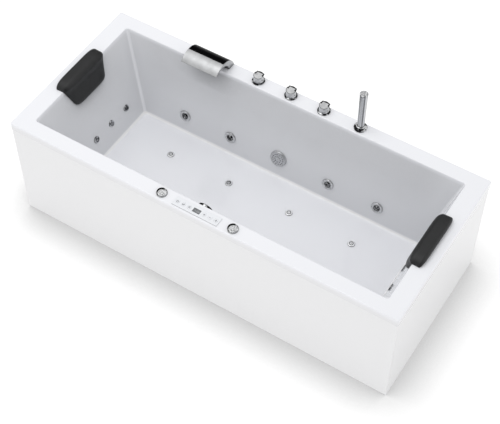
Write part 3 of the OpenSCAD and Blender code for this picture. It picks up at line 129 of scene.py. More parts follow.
def add_node(tree, kind, settings=None, inputs=None):
    """Adds a node, sets its properties, and fills or links its sockets by name or number."""
    node = tree.nodes.new(kind)
    for key, value in (settings or {}).items():
        setattr(node, key, value)
    for key, value in (inputs or {}).items():
        if isinstance(value, bpy.types.NodeSocket):
            tree.links.new(value, node.inputs[key])
        else:
            node.inputs[key].default_value = value
    return node


def maths(tree, operation, *values):
    """One sum on numbers and sockets."""
    inputs = dict(enumerate(values))
    return add_node(tree, "ShaderNodeMath", {"operation": operation}, inputs).outputs[0]


def stretch(tree, value, low, high, to_low=0.0, to_high=1.0):
    """A value carried from one span to another, and held at the ends."""
    return add_node(tree, "ShaderNodeMapRange",
                    inputs={"Value": value, "From Min": low, "From Max": high,
                            "To Min": to_low, "To Max": to_high}).outputs[0]


def axes(tree, vector):
    """The X, Y and Z of a vector."""
    parts = add_node(tree, "ShaderNodeSeparateXYZ", inputs={0: vector}).outputs
    return parts["X"], parts["Y"], parts["Z"]


def soft_steps(tree, value, stops):
    """A colour ramp on value, given as pairs of place and hex colour or grey."""
    ramp = add_node(tree, "ShaderNodeValToRGB", inputs={"Fac": value})
    places = ramp.color_ramp.elements
    while len(places) < len(stops):
        places.new(0.5)
    for stop, (where, shade) in zip(places, stops):
        stop.position = where
        stop.color = colour(shade) if isinstance(shade, str) else [shade, shade, shade, 1.0]
    return ramp.outputs["Color"]


def blend(tree, share, first, second, kind="MIX"):
    """Two colours, as hex codes or sockets: the first where share is 0, the second where it is 1."""
    shades = [colour(shade) if isinstance(shade, str) else shade for shade in (first, second)]
    return add_node(tree, "ShaderNodeMix", {"data_type": "RGBA", "blend_type": kind},
                    {"Factor": share, 6: shades[0], 7: shades[1]}).outputs[2]


def openness(tree, reach, samples=8, **inputs):
    """1 where nothing stands closer than the reach, in metres, and less in narrow places."""
    return add_node(tree, "ShaderNodeAmbientOcclusion", {"samples": samples},
                    {"Distance": reach, **inputs}).outputs["AO"]


# %% Sky, lamps and floor
HORIZON, OVERHEAD = 0.80, 0.85      # brightness of the sky, level and overhead
DARK_CARD = 0.04                    # how light the cards look in chrome
# A card behind the camera and a low one behind the bath. Each has its start and end round the
# horizon, in turns, and its top, as the upward share of its direction.
CARDS = [(0.24, 0.44, 0.84), (0.69, 0.93, 0.56)]
SIDE_FADE, TOP_FADE = 0.03, 0.05
LAMP_PLACE, LAMP_AIM, LAMP_SIZE, LAMP_WATTS = (-0.9, -0.3, 4.2), (0, 0, 0.3), 2.2, 30
PAPER_HALF = 30                     # half the width of the paper floor
PAPER_GLOW = 0.62                   # light of its own, which makes the paper white
# Painted shadow on the paper round the bath's foot: how far it reaches and how dark it gets
FOOT_SHADOW_REACH, FOOT_SHADOW_TONE = 0.2, 0.2    # how far off the bath darkens the paper, and how dark it gets

world = bpy.data.worlds.new("studio")
bpy.context.scene.world = world
world.use_nodes = True
sky = world.node_tree
sky.nodes.clear()
east, north, up = axes(sky, add_node(sky, "ShaderNodeTexCoord").outputs["Generated"])
sky_tone = soft_steps(sky, up, [(0.0, HORIZON), (0.5, HORIZON), (0.8, OVERHEAD)])
studio_light = add_node(sky, "ShaderNodeBackground", inputs={"Color": sky_tone})
turn = stretch(sky, maths(sky, "ARCTAN2", north, east), -math.pi, math.pi)
cards = []
for start, end, top in CARDS:
    card = soft_steps(sky, turn, [(0.0, 1.0), (start - SIDE_FADE, 1.0), (start, DARK_CARD),
                                  (end, DARK_CARD), (end + SIDE_FADE, 1.0)])
    over = soft_steps(sky, up, [(0.0, 0.0), (top, 0.0), (top + TOP_FADE, 1.0)])
    cards.append(maths(sky, "MAXIMUM", card, over))
mirror_studio = add_node(sky, "ShaderNodeBackground",
                         inputs={"Color": maths(sky, "MINIMUM", *cards), "Strength": 1.0})
white_card = add_node(sky, "ShaderNodeBackground", inputs={"Color": [1, 1, 1, 1], "Strength": 1.0})
ray = add_node(sky, "ShaderNodeLightPath").outputs
in_mirror = add_node(sky, "ShaderNodeMixShader",
                     inputs={0: ray["Is Glossy Ray"], 1: studio_light.outputs[0],
                             2: mirror_studio.outputs[0]})
seen = add_node(sky, "ShaderNodeMixShader",
                inputs={0: ray["Is Camera Ray"], 1: in_mirror.outputs[0], 2: white_card.outputs[0]})
add_node(sky, "ShaderNodeOutputWorld", inputs={"Surface": seen.outputs[0]})


def soft_lamp(name, place, aim, size, watts):
    """A square area lamp at place, facing aim."""
    lamp = bpy.data.objects.new(name, bpy.data.lights.new(name, "AREA"))
    bpy.context.scene.collection.objects.link(lamp)
    lamp.location = place
    lamp.rotation_euler = (Vector(aim) - Vector(place)).to_track_quat("-Z", "Y").to_euler()
    lamp.data.size = size
    lamp.data.energy = watts
    return lamp


soft_lamp("overhead", LAMP_PLACE, LAMP_AIM, LAMP_SIZE, LAMP_WATTS)

floor_mesh = bpy.data.meshes.new("studio_floor")
paper_corners = [(PAPER_HALF * x, PAPER_HALF * y, 0) for x, y in ((-1, -1), (1, -1), (1, 1), (-1, 1))]
floor_mesh.from_pydata(paper_corners, [], [(0, 1, 2, 3)])
floor = bpy.data.objects.new("studio_floor", floor_mesh)
bpy.context.scene.collection.objects.link(floor)
paper = bpy.data.materials.new("white_paper")
paper.use_nodes = True
tree = paper.node_tree
tree.nodes.clear()
# Painted shadow: nearness to the bath darkens the paper where the camera and mirrors see it, a soft dark edge
# painted at its foot
painted_foot_shadow = stretch(tree, openness(tree, FOOT_SHADOW_REACH), 0.0, 1.0, FOOT_SHADOW_TONE, 1.0)
ray = add_node(tree, "ShaderNodeLightPath").outputs
by_eye = maths(tree, "MAXIMUM", ray["Is Camera Ray"], ray["Is Glossy Ray"])
edge_shade = add_node(tree, "ShaderNodeMix", {"data_type": "FLOAT"}, {"Factor": by_eye, 2: 1.0, 3: painted_foot_shadow})
paper_white = blend(tree, edge_shade.outputs[0], "#000000", "#bcbcbc")
matt = add_node(tree, "ShaderNodeBsdfDiffuse", inputs={"Color": paper_white})
glow_part = maths(tree, "MULTIPLY", edge_shade.outputs[0], PAPER_GLOW)
glow = add_node(tree, "ShaderNodeEmission", inputs={"Color": [1, 1, 1, 1], "Strength": glow_part})
lifted = add_node(tree, "ShaderNodeAddShader", inputs={0: matt.outputs[0], 1: glow.outputs[0]})
add_node(tree, "ShaderNodeOutputMaterial", inputs={"Surface": lifted.outputs[0]})
floor_mesh.materials.append(paper)

# %% [markdown]
# ## Finishes
# Each finish is named for the real material. Values start from what that material measures and
# are then set against the photograph.

# %% Finish helper
finishes = {}


def finish(name, base, rough, metal=0.0, **sockets):
    """A Principled material: its base colour, roughness and metalness, and any other sockets."""
    made = bpy.data.materials.new(name)
    made.use_nodes = True
    tree = made.node_tree
    surface = tree.nodes["Principled BSDF"]
    surface.inputs["Base Color"].default_value = colour(base)
    surface.inputs["Roughness"].default_value = rough
    surface.inputs["Metallic"].default_value = metal
    for key, value in sockets.items():
        surface.inputs[key.replace("_", " ")].default_value = value
    finishes[name] = made
    return tree, surface


def place(tree):
    """Object coordinates, in metres."""
    return add_node(tree, "ShaderNodeTexCoord").outputs["Object"]


def grain(tree, millimetres, detail=2.0, rough=0.5):
    """Noise whose lumps are about so many millimetres across."""
    return add_node(tree, "ShaderNodeTexNoise",
                    inputs={"Vector": place(tree), "Scale": 1000 / millimetres, "Detail": detail,
                            "Roughness": rough}).outputs["Fac"]


def tint(tree, surface, tones):
    """Gives the surface a colour that changes over it."""
    tree.links.new(tones, surface.inputs["Base Color"])


def relief(tree, surface, height, depth_mm, strength):
    """Bumps the surface by a height from 0 to 1, worth so many millimetres."""
    bump = add_node(tree, "ShaderNodeBump",
                    inputs={"Height": height, "Distance": depth_mm / 1000, "Strength": strength})
    tree.links.new(bump.outputs[0], surface.inputs["Normal"])


def plain(name, base, rough, lump_mm, detail, depth_mm, strength, **sockets):
    """A finish of one colour with a fine relief."""
    tree, surface = finish(name, base, rough, **sockets)
    relief(tree, surface, grain(tree, lump_mm, detail), depth_mm, strength)


# %% [markdown]
# ### Cast acrylic
# The shell is a vacuum-formed sheet of cast acrylic: pure white, very smooth, with a clear gloss.
# The forming leaves a faint waviness some centimetres long, which shows only in the reflections.
# The basin's walls are painted a grey shade, the lip a lighter one, and the rounds at corners and floor a
# pale painted highlight.

# %% Acrylic
# Painted shade greys for the basin's walls and lip, and a painted highlight white for the rounds
WHITE, WALL_SHADE_GREY, LIP_SHADE_GREY, CORNER_HIGHLIGHT_WHITE = "#f2f3f7", "#dfe0e3", "#e7e7e9", "#f0f1f4"
# Heights where the walls' painted shade ends at the rim and begins above the floor
RIM_FROM, RIM_TO = 0.530, 0.549               # heights over which the wall's grey ends
WALL_FROM, WALL_TO = 0.002, 0.020             # heights above the floor over which it begins
BASIN_SLACK = 0.002                           # how far past the basin's edge it may reach
# Distances short of the wall over which the painted corner highlight sets in
CORNER_HIGHLIGHT_FROM, CORNER_HIGHLIGHT_TO = -0.013, -0.007       # distances short of the wall where the corner pales
# Painted shadow under overhanging things: its reach, and the heights and corner distances over which it sets
# in
OVERHANG_REACH = 0.16                         # how far off a thing still shades the wall
SHADE_LOW, SHADE_HIGH = 0.30, 0.42            # heights between which that shade sets in
SHADE_NONE, SHADE_FULL = -0.06, -0.16         # distances from a corner between which it sets in

tree, surface = finish("cast_acrylic", WHITE, 0.10, IOR=1.49)
relief(tree, surface, grain(tree, 90, 1.0, 0.4), 0.25, 0.35)
x, y, height = axes(tree, place(tree))
beside, ahead = maths(tree, "ABSOLUTE", x), maths(tree, "ABSOLUTE", y)
in_basin = maths(tree, "MULTIPLY", maths(tree, "LESS_THAN", beside, INNER[0] / 2 + BASIN_SLACK),
                 maths(tree, "LESS_THAN", ahead, INNER[1] / 2 + BASIN_SLACK))
below_rim = maths(tree, "SUBTRACT", 1.0, stretch(tree, height, RIM_FROM, RIM_TO))
over_floor = stretch(tree, height, FLOOR_Z + WALL_FROM, FLOOR_Z + WALL_TO)
on_wall = maths(tree, "MULTIPLY", in_basin, maths(tree, "MULTIPLY", below_rim, over_floor))
# Painted shade: the basin's walls are coloured grey
wall_shaded = blend(tree, on_wall, WHITE, WALL_SHADE_GREY)


def short_of_wall(axis):
    """How far a point lies inside the leaning wall's face: 0 on it, negative towards the middle."""
    slope, half_floor = np.tan(LEAN[axis]), (FLOOR_L, FLOOR_W)[axis] / 2
    spread = maths(tree, "MULTIPLY_ADD", height, -slope, FLOOR_Z * slope - half_floor)
    return maths(tree, "ADD", (beside, ahead)[axis], spread)


# Painted highlight: where two walls, or a wall and the floor, meet in a round, a pale line is painted for the
# gloss's highlight
corner = maths(tree, "MINIMUM", short_of_wall(0), short_of_wall(1))
corner_highlight_line = maths(tree, "MULTIPLY", stretch(tree, corner, CORNER_HIGHLIGHT_FROM, CORNER_HIGHLIGHT_TO), on_wall)
corner_highlighted = blend(tree, corner_highlight_line, wall_shaded, CORNER_HIGHLIGHT_WHITE)
# Painted highlight: a white line along the round between the walls and the floor
floor_highlight_line = soft_steps(tree, stretch(tree, height, FLOOR_Z, FLOOR_Z + WALL_TO),
                        [(0.0, 0.0), (0.06, 0.0), (0.12, 1.0), (0.5, 1.0), (0.75, 0.0)])
floor_highlighted = blend(tree, maths(tree, "MULTIPLY", floor_highlight_line, in_basin), corner_highlighted, "#ffffff")
# Painted shadow: nearness to what hangs over the wall darkens the upper wall's colour
upward = add_node(tree, "ShaderNodeCombineXYZ", inputs={2: 1.0}).outputs[0]
overhang_shadow = soft_steps(tree, openness(tree, OVERHANG_REACH, 6, Normal=upward),
                     [(0.15, 0.45), (0.40, 0.72), (0.56, 1.0)])
high_wall = maths(tree, "MULTIPLY", stretch(tree, height, SHADE_LOW, SHADE_HIGH), on_wall)
shade_share = maths(tree, "MULTIPLY", high_wall, stretch(tree, corner, SHADE_NONE, SHADE_FULL))
shaded = blend(tree, shade_share, floor_highlighted, overhang_shadow, "MULTIPLY")
# Painted shade: the outer lip below the rim is coloured a light grey
on_lip = maths(tree, "MULTIPLY", below_rim, maths(tree, "SUBTRACT", 1.0, in_basin))
tint(tree, surface, blend(tree, on_lip, shaded, LIP_SHADE_GREY))

# %% [markdown]
# ### Apron sheet, plate and plastics
# The apron is the same acrylic, flat and less shiny. The plate and keys are glossy moulded ABS.

# %% Whites, blacks and greys
tree, surface = finish("apron_acrylic", "#ececed", 0.28, IOR=1.49)
relief(tree, surface, grain(tree, 140, 1.0, 0.4), 0.2, 0.25)

tree, surface = finish("gloss_abs", "#eceef2", 0.18, IOR=1.54)
# Painted shade: faces of the plate and keys that don't point up are coloured a darker grey
facing_up = axes(tree, add_node(tree, "ShaderNodeNewGeometry").outputs["True Normal"])[2]
tint(tree, surface, soft_steps(tree, facing_up, [(0.2, "#77787b"), (0.9, "#eceef2")]))
relief(tree, surface, grain(tree, 3), 0.02, 0.3)

tree, surface = finish("display_glass", "#6f7174", 0.12, IOR=1.5)
tint(tree, surface, soft_steps(tree, grain(tree, 14, 1.0), [(0.3, "#5c5e61"), (0.7, "#838588")]))

plain("black_gloss_abs", "#020203", 0.35, 60, 1.0, 0.1, 0.3, IOR=1.54, Specular_IOR_Level=0.04)
plain("black_nylon", "#17181a", 0.5, 1.2, 3.0, 0.08, 0.5, IOR=1.53)
plain("grey_pvc", "#7b7d80", 0.42, 2.0, 3.0, 0.06, 0.5, IOR=1.53)
plain("white_pvc", "#dfe1e3", 0.35, 30, 2.0, 0.1, 0.4, IOR=1.53)
plain("foot_rubber", "#1b1b1c", 0.75, 1.0, 3.0, 0.1, 0.6)
plain("motor_enamel", "#4d5054", 0.45, 1.5, 4.0, 0.12, 0.6)

# %% [markdown]
# ### Metals
# The fittings are brass castings with bright chrome plate: nearly a mirror, faintly uneven from
# polishing. The frame is zinc plated tube, with the spangle of the zinc in soft patches.

# %% Metal helpers
def painted_edge_reflection(tree, tones, width_mm, dark):
    """Darkens a colour within the width of a sharp edge: a painted dark reflection where the plating turns.
    """
    turned = add_node(tree, "ShaderNodeBevel", {"samples": 4}, {"Radius": width_mm / 1000})
    flat = add_node(tree, "ShaderNodeNewGeometry")
    match = add_node(tree, "ShaderNodeVectorMath", {"operation": "DOT_PRODUCT"},
                     {0: turned.outputs[0], 1: flat.outputs["Normal"]})
    edge_reflection_share = soft_steps(tree, match.outputs["Value"], [(0.88, 1.0), (0.985, 0.0)])
    return blend(tree, edge_reflection_share, tones, dark)


def reflection_streaks(tree, millimetres, stops):
    """Upright streaks painted as reflections: noise that changes round a piece but not with its height."""
    x, y, _ = axes(tree, place(tree))
    level = add_node(tree, "ShaderNodeCombineXYZ", inputs={0: x, 1: y})
    noise = add_node(tree, "ShaderNodeTexNoise",
                     inputs={"Vector": level.outputs[0], "Scale": 1000 / millimetres, "Detail": 2.0})
    return soft_steps(tree, noise.outputs["Fac"], stops)


def crevice_painted_shade(tree, tones, reach_mm, low, high):
    """Darkens a colour by nearness: painted shade, black in the narrowest places."""
    share = soft_steps(tree, openness(tree, reach_mm / 1000), [(low, 0.03), (high, 1.0)])
    return blend(tree, 1.0, tones, share, "MULTIPLY")


def far_from(tree, point, middle):
    """How far a point lies from a fixed place."""
    return add_node(tree, "ShaderNodeVectorMath", {"operation": "DISTANCE"},
                    {0: point, 1: [float(part) for part in middle]}).outputs["Value"]


# %% Jet rings and waste
tree, surface = finish("bright_chrome", "#c4c5c6", 0.08, 1.0)
tones = soft_steps(tree, grain(tree, 9), [(0.35, "#b3b4b5"), (0.65, "#d2d3d4")])
# Painted shade in its crevices and a painted dark reflection along its sharp edges
tint(tree, surface, painted_edge_reflection(tree, crevice_painted_shade(tree, tones, 12, 0.3, 0.7), 1.8, "#1d1e1f"))
relief(tree, surface, grain(tree, 16, 1.0), 0.1, 0.3)

# %% Levers
# A lever's flat top is painted with a dark reflection line round it, square at the back and round at the
# front, and its crevices get painted shade
LEVER_HALF, LEVER_R, VALVE_PITCH, VALVE_SHIFT = 0.0185, 0.022, 0.159, -0.006
BACK_LINE, FRONT_LINE = (-0.0060, -0.0035), (-0.0035, -0.0015)
FRONT_TONE = 0.7
tree, surface = finish("lever_chrome", "#c4c5c6", 0.08, 1.0)
tones = soft_steps(tree, grain(tree, 18, 1.0), [(0.35, "#b9babb"), (0.65, "#cfd0d1")])
x, y, _ = axes(tree, place(tree))
along = maths(tree, "ADD", x, -VALVE_SHIFT)
steps_out = maths(tree, "ROUND", maths(tree, "DIVIDE", along, VALVE_PITCH))
nearest_axis = maths(tree, "MULTIPLY", steps_out, VALVE_PITCH)
aside = maths(tree, "ABSOLUTE", maths(tree, "SUBTRACT", along, nearest_axis))
backward = maths(tree, "ADD", y, -DECK_Y)
to_square = maths(tree, "SUBTRACT", maths(tree, "MAXIMUM", aside, backward), LEVER_HALF)
from_axis = maths(tree, "SQRT", maths(tree, "ADD", maths(tree, "MULTIPLY", aside, aside),
                                      maths(tree, "MULTIPLY", backward, backward)))
to_round = maths(tree, "SUBTRACT", from_axis, LEVER_R)
outline = add_node(tree, "ShaderNodeMix", {"data_type": "FLOAT"},
                   {"Factor": maths(tree, "GREATER_THAN", backward, 0.0),
                    2: stretch(tree, to_round, *FRONT_LINE, 0.0, FRONT_TONE),
                    3: stretch(tree, to_square, *BACK_LINE)})
facing_up = axes(tree, add_node(tree, "ShaderNodeNewGeometry").outputs["Normal"])[2]
top_dark_line = maths(tree, "MULTIPLY", outline.outputs[0], maths(tree, "GREATER_THAN", facing_up, 0.5))
tint(tree, surface, crevice_painted_shade(tree, blend(tree, top_dark_line, tones, "#0d0e0f"), 14, 0.3, 0.7))
relief(tree, surface, grain(tree, 16, 1.0), 0.1, 0.3)

# %% Deck flanges and hand shower
# Painted reflection: a flange's foot on the white rim is coloured dark and broken up low down, for the dark
# gap round it, and its sharp edges get a painted dark line
FOOT_FROM, FOOT_TO = 0.0075, 0.0105
tree, surface = finish("flange_chrome", "#c4c5c6", 0.1, 1.0)
foot = soft_steps(tree, grain(tree, 14, 1.0), [(0.38, "#1c1d1e"), (0.52, "#3b3c3e"), (0.62, "#c8c9ca")])
height = axes(tree, place(tree))[2]
risen = stretch(tree, height, BATH[2] + FOOT_FROM, BATH[2] + FOOT_TO)
tint(tree, surface, painted_edge_reflection(tree, blend(tree, risen, foot, "#cfd0d1"), 1.5, "#3a3b3c"))
relief(tree, surface, grain(tree, 16, 1.0), 0.1, 0.3)

tree, surface = finish("stick_chrome", "#b4b5b6", 0.12, 1.0)
# Painted reflection: upright light and dark streaks round the hand shower, and a painted dark line along its
# sharp edges
tones = reflection_streaks(tree, 7, [(0.38, "#7b7c7e"), (0.5, "#b6b7b8"), (0.62, "#dadbdc")])
tint(tree, surface, painted_edge_reflection(tree, tones, 2.2, "#48494b"))
relief(tree, surface, grain(tree, 20, 1.0), 0.1, 0.3)

# %% Air knobs
# Painted reflection: the dish of an air knob is coloured dark in a crescent along its far wall, broken by the
# notch, and its crevices get painted shade.
# The dark begins outside a circle that is moved off the knob's middle.
DISH_R, DISH_EDGE, KNOB_FACE_R = 0.0192, 0.001, 0.0235
CRESCENT, CRESCENT_TURN = 0.0052, math.radians(-30)
NOTCH_TURN, NOTCH_R = math.radians(77), 0.0046
tree, surface = finish("knob_chrome", "#d0d1d2", 0.16, 1.0)
tones = soft_steps(tree, grain(tree, 4.5), [(0.38, "#a2a3a4"), (0.6, "#e9eaeb")])
knob_x, knob_y = top_of("air_knob_right")[0]
x, y, _ = axes(tree, place(tree))
knob_side = stretch(tree, maths(tree, "GREATER_THAN", x, 0.0), 0.0, 1.0, knob_x, -knob_x)
from_knob = maths(tree, "ADD", x, knob_side)
on_plan = add_node(tree, "ShaderNodeCombineXYZ", inputs={0: from_knob, 1: y}).outputs[0]
moved = (CRESCENT * math.cos(CRESCENT_TURN), knob_y + CRESCENT * math.sin(CRESCENT_TURN), 0)
notch = (DISH_R * math.cos(NOTCH_TURN), knob_y + DISH_R * math.sin(NOTCH_TURN), 0)
in_painted_crescent = stretch(tree, far_from(tree, on_plan, moved), DISH_R, DISH_R + DISH_EDGE)
on_face = maths(tree, "LESS_THAN", far_from(tree, on_plan, (0, knob_y, 0)), KNOB_FACE_R)
off_notch = maths(tree, "GREATER_THAN", far_from(tree, on_plan, notch), NOTCH_R)
dark = maths(tree, "MULTIPLY", maths(tree, "MULTIPLY", in_painted_crescent, on_face), off_notch)
tint(tree, surface, crevice_painted_shade(tree, blend(tree, dark, tones, "#060607"), 6, 0.15, 0.5))
relief(tree, surface, grain(tree, 6, 1.0), 0.1, 0.4)

# %% Overflow knob
# Painted reflection: light and dark bands along the bath, for the room that a knob lying on its side mirrors
OVERFLOW_X, OVERFLOW_SPAN = -0.005, 0.040
tree, surface = finish("overflow_chrome", "#c4c5c6", 0.12, 1.0)
span = stretch(tree, axes(tree, place(tree))[0], OVERFLOW_X - OVERFLOW_SPAN, OVERFLOW_X + OVERFLOW_SPAN)
tint(tree, surface, soft_steps(tree, span, [
    (0.0, "#050505"), (0.43, "#0a0a0b"), (0.47, "#e6e7e8"), (0.53, "#d2d3d4"), (0.57, "#77787a"),
    (0.615, "#8a8b8d"), (0.635, "#d8d9da"), (0.665, "#0c0c0d"), (1.0, "#0c0c0d")]))
relief(tree, surface, grain(tree, 16, 1.0), 0.1, 0.3)

# %% Spout, suction cover and jets
tree, surface = finish("spout_chrome", "#b9babb", 0.45, 1.0)
flow = grain(tree, 30)
tones = soft_steps(tree, flow, [(0.3, "#b4b5b6"), (0.7, "#c2c3c4")])
# Painted shade in the spout's crevices and a painted dark reflection along its sharp edges
tint(tree, surface, painted_edge_reflection(tree, crevice_painted_shade(tree, tones, 70, 0.42, 0.72), 1.5, "#4a4b4c"))
relief(tree, surface, flow, 0.05, 0.3)

tree, surface = finish("satin_chrome", "#c2c3c5", 0.36, 1.0)
tones = soft_steps(tree, grain(tree, 5), [(0.35, "#b5b6b8"), (0.65, "#cccdcf")])
# Painted shade in the suction cover's crevices
tint(tree, surface, crevice_painted_shade(tree, tones, 7, 0.1, 0.55))
relief(tree, surface, grain(tree, 2.5), 0.08, 0.5)

# The floor's caps get painted shade at their foot and a painted highlight on top, the end walls' caps are
# mottled, and all get painted shade in crevices
CAP_FROM, CAP_TO = 0.0004, 0.0046
tree, surface = finish("jet_cap_chrome", "#9fa0a2", 0.2, 1.0)
x, _, height = axes(tree, place(tree))
on_end = maths(tree, "GREATER_THAN", maths(tree, "ABSOLUTE", x), FLOOR_L / 2)
floor_cap_painted_light = soft_steps(tree, stretch(tree, height, FLOOR_Z + CAP_FROM, FLOOR_Z + CAP_TO),
                       [(0.0, "#3a3b3d"), (0.55, "#77787a"), (0.9, "#f0f1f2")])
end_cap = soft_steps(tree, grain(tree, 9, 1.0), [(0.42, "#5c5d5f"), (0.6, "#c2c3c5")])
tint(tree, surface, crevice_painted_shade(tree, blend(tree, on_end, floor_cap_painted_light, end_cap), 10, 0.4, 0.85))
relief(tree, surface, grain(tree, 4, 1.0), 0.15, 0.4)

tree, surface = finish("smoked_chrome", "#5b5c5e", 0.22, 1.0)
tint(tree, surface, soft_steps(tree, grain(tree, 7), [(0.44, "#242527"), (0.58, "#a2a3a5")]))
relief(tree, surface, grain(tree, 5, 1.0), 0.3, 0.5)

# %% Steel of the frame and shafts
tree, surface = finish("zinc_steel", "#a9abae", 0.38, 1.0)
spangle = add_node(tree, "ShaderNodeTexVoronoi", inputs={"Vector": place(tree), "Scale": 1000 / 9})
tint(tree, surface, soft_steps(tree, spangle.outputs["Color"], [(0.2, "#97999c"), (0.8, "#b9bbbe")]))
relief(tree, surface, grain(tree, 1.5, 3.0), 0.05, 0.4)

tree, surface = finish("turned_steel", "#9a9ca0", 0.3, 1.0)
rings = add_node(tree, "ShaderNodeTexWave", {"bands_direction": "Y"},
                 {"Vector": place(tree), "Scale": 300.0, "Distortion": 0.5})
relief(tree, surface, rings.outputs["Fac"], 0.05, 0.4)

# %% [markdown]
# ### Board and foam skin
# The boards are raw chipboard. The pillows are moulded polyurethane foam with its own skin:
# charcoal, soft, with a fine leathery pebble over a millimetre across and a broad dull sheen.

# %% Board and pillow
tree, surface = finish("chipboard", "#b79468", 0.8)
chips = add_node(tree, "ShaderNodeTexVoronoi", inputs={"Vector": place(tree), "Scale": 1000 / 6})
tint(tree, surface, soft_steps(tree, chips.outputs["Color"], [(0.1, "#9c7a50"), (0.9, "#cbab7d")]))
relief(tree, surface, chips.outputs["Distance"], 0.2, 0.5)

tree, surface = finish("foam_skin", "#111213", 0.55, IOR=1.5, Sheen_Weight=0.08, Sheen_Roughness=0.4)
pebble = add_node(tree, "ShaderNodeTexVoronoi", {"feature": "SMOOTH_F1"},
                  {"Vector": place(tree), "Scale": 1000 / 1.6, "Smoothness": 0.6})
hand = grain(tree, 45)
relief(tree, surface, maths(tree, "MULTIPLY_ADD", hand, 1.5, pebble.outputs["Distance"]), 0.25, 0.5)
tint(tree, surface, soft_steps(tree, hand, [(0.35, "#0f1011"), (0.7, "#17181a")]))

# %% Finish for each CAD node
KEYS = ["key_%d" % i for i in range(1, 7)]
NOZZLES = ["side_jet_nozzle_%d" % i for i in range(1, 9)]
FITTINGS = ("side_jet_rings air_jet_caps suction_cover overflow_body overflow_knob waste_body waste_plug "
            "spout_body valve_bases valve_handle_1 valve_handle_2 valve_handle_3 handset_holder handset "
            "air_control_rings air_knob_left air_knob_right").split()
FINISH_NODES = {
    "cast_acrylic": "bath_shell",
    "apron_acrylic": "front_panel back_panel left_panel right_panel",
    "bright_chrome": "side_jet_rings waste_body waste_plug air_control_rings",
    "lever_chrome": "valve_handle_1 valve_handle_2 valve_handle_3",
    "flange_chrome": "valve_bases handset_holder",
    "stick_chrome": "handset",
    "knob_chrome": "air_knob_left air_knob_right",
    "overflow_chrome": "overflow_knob overflow_body",
    "spout_chrome": "spout_body",
    "satin_chrome": "suction_cover",
    "jet_cap_chrome": "air_jet_caps",
    "smoked_chrome": " ".join(NOZZLES),
    "gloss_abs": "control_plate " + " ".join(KEYS),
    "black_gloss_abs": "spout_cover",
    "display_glass": "display_window",
    "zinc_steel": "long_rails cross_rails uprights foot_stems lock_nuts panel_brackets",
    "turned_steel": "pump_rotor blower_rotor",
    "motor_enamel": "pump_motor",
    "black_nylon": "pump_housing blower_housing",
    "grey_pvc": "side_jet_bodies air_jet_bodies control_box",
    "white_pvc": "waste_pipes water_pipes air_pipes",
    "foot_rubber": "foot_pads",
    "chipboard": "support_boards",
    "foam_skin": "pillow_left pillow_right",
}
node_finish = {node: made for made, nodes in FINISH_NODES.items() for node in nodes.split()}
for name, obj in frame["nodes"].items():
    obj.data.materials.clear()
    obj.data.materials.append(finishes[node_finish[name]])
node_body = {node: body for body, nodes in frame["record"]["behaviour"]["bodies"].items() for node in nodes}
print(len(node_finish), "nodes have a finish")

# %% [markdown]
# ## Surfaces from numbers
# A surface here is a grid of points worked out at once with numpy. The helper joins the grid into
# quads, closes it where asked, and gives the piece its finish and the body it rides on.

# %% Surface helper
def surface_piece(name, points, faces, material, body, stands_for=()):
    """A smooth mesh piece from an array of points and a list of faces."""
    mesh = bpy.data.meshes.new(name)
    mesh.from_pydata(points.reshape(-1, 3).tolist(), [], [list(map(int, f)) for f in faces])
    mesh.update()
    mesh.shade_smooth()
    piece = bpy.data.objects.new(name, mesh)
    bpy.context.scene.collection.objects.link(piece)
    mesh.materials.append(finishes[material])
    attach(piece, body)
    if stands_for:
        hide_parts(*stands_for)
    return piece


def grid_faces(rows, cols, closed=False):
    """Quads of a grid of rows by cols points, wrapped round along its columns where closed."""
    down, across = np.meshgrid(np.arange(rows - 1), np.arange(cols if closed else cols - 1), indexing="ij")
    right = (across + 1) % cols
    return np.stack([down * cols + across, down * cols + right,
                     (down + 1) * cols + right, (down + 1) * cols + across], -1).reshape(-1, 4)


# %% [markdown]
# ## Shell
# The shell is one skin: from the middle of the floor out to its rounded edge, up the leaning walls,
# over the soft edge of the rim, down the lip, and back underneath at the sheet's thickness. Every
# station of that path is a rounded rectangle, so the whole shell is a stack of rounded rectangles.

# %% Shell stations
CORNER_STEPS, SIDE_STEPS = 8, 12
RING_POINTS = 4 * (CORNER_STEPS + SIDE_STEPS - 1)
EDGE_R = 0.0045       # soft edge between the basin and the rim
RIM_R = 0.004         # soft outer edge of the rim
LIP_R = 0.002         # soft lower edge of the lip
SHARP_R = 0.0005      # plan corner of a ring inside the flat floor
RIM_CORNER, RIM_FLAT_CORNER, INSIDE_CORNER = 0.007, 0.005, 0.004
UNDER_CORNER, UNDER_FLOOR_CORNERS = 0.028, (0.020, 0.010)
FLOOR_SHARES = (0.02, 0.3, 0.6, 0.85, 0.985)
RIM_STEPS_OUT, RIM_CORNER_END = (0, 0.004, 0.03), 0.07
UNDER_RISE, UNDER_SPREAD, UNDER_DROP = 0.020, 0.010, 0.003


def rounded_rectangle(half_x, half_y, radius):
    """Points round a rectangle with round corners, as many on each side for every size."""
    angle = np.linspace(0, np.pi / 2, CORNER_STEPS)
    corner = np.stack([half_x - radius + radius * np.cos(angle), half_y - radius + radius * np.sin(angle)], 1)
    corners = [corner, corner[::-1] * [-1, 1], -corner, corner[::-1] * [1, -1]]
    rings = []
    for k, arc in enumerate(corners):
        after = corners[(k + 1) % 4][0]
        share = np.linspace(0, 1, SIDE_STEPS + 1)[1:-1, None]
        rings.append(np.vstack([arc, arc[-1] * (1 - share) + after * share]))
    return np.vstack(rings)


def edge_out(axis):
    """How far the middle of the basin's rounded rim edge stands from the bath's middle: the rim's
    half, less the round's reach along the lean, plus the round over the lean's cosine."""
    return INNER[axis] / 2 - EDGE_R * np.tan(LEAN[axis]) + EDGE_R / np.cos(LEAN[axis])


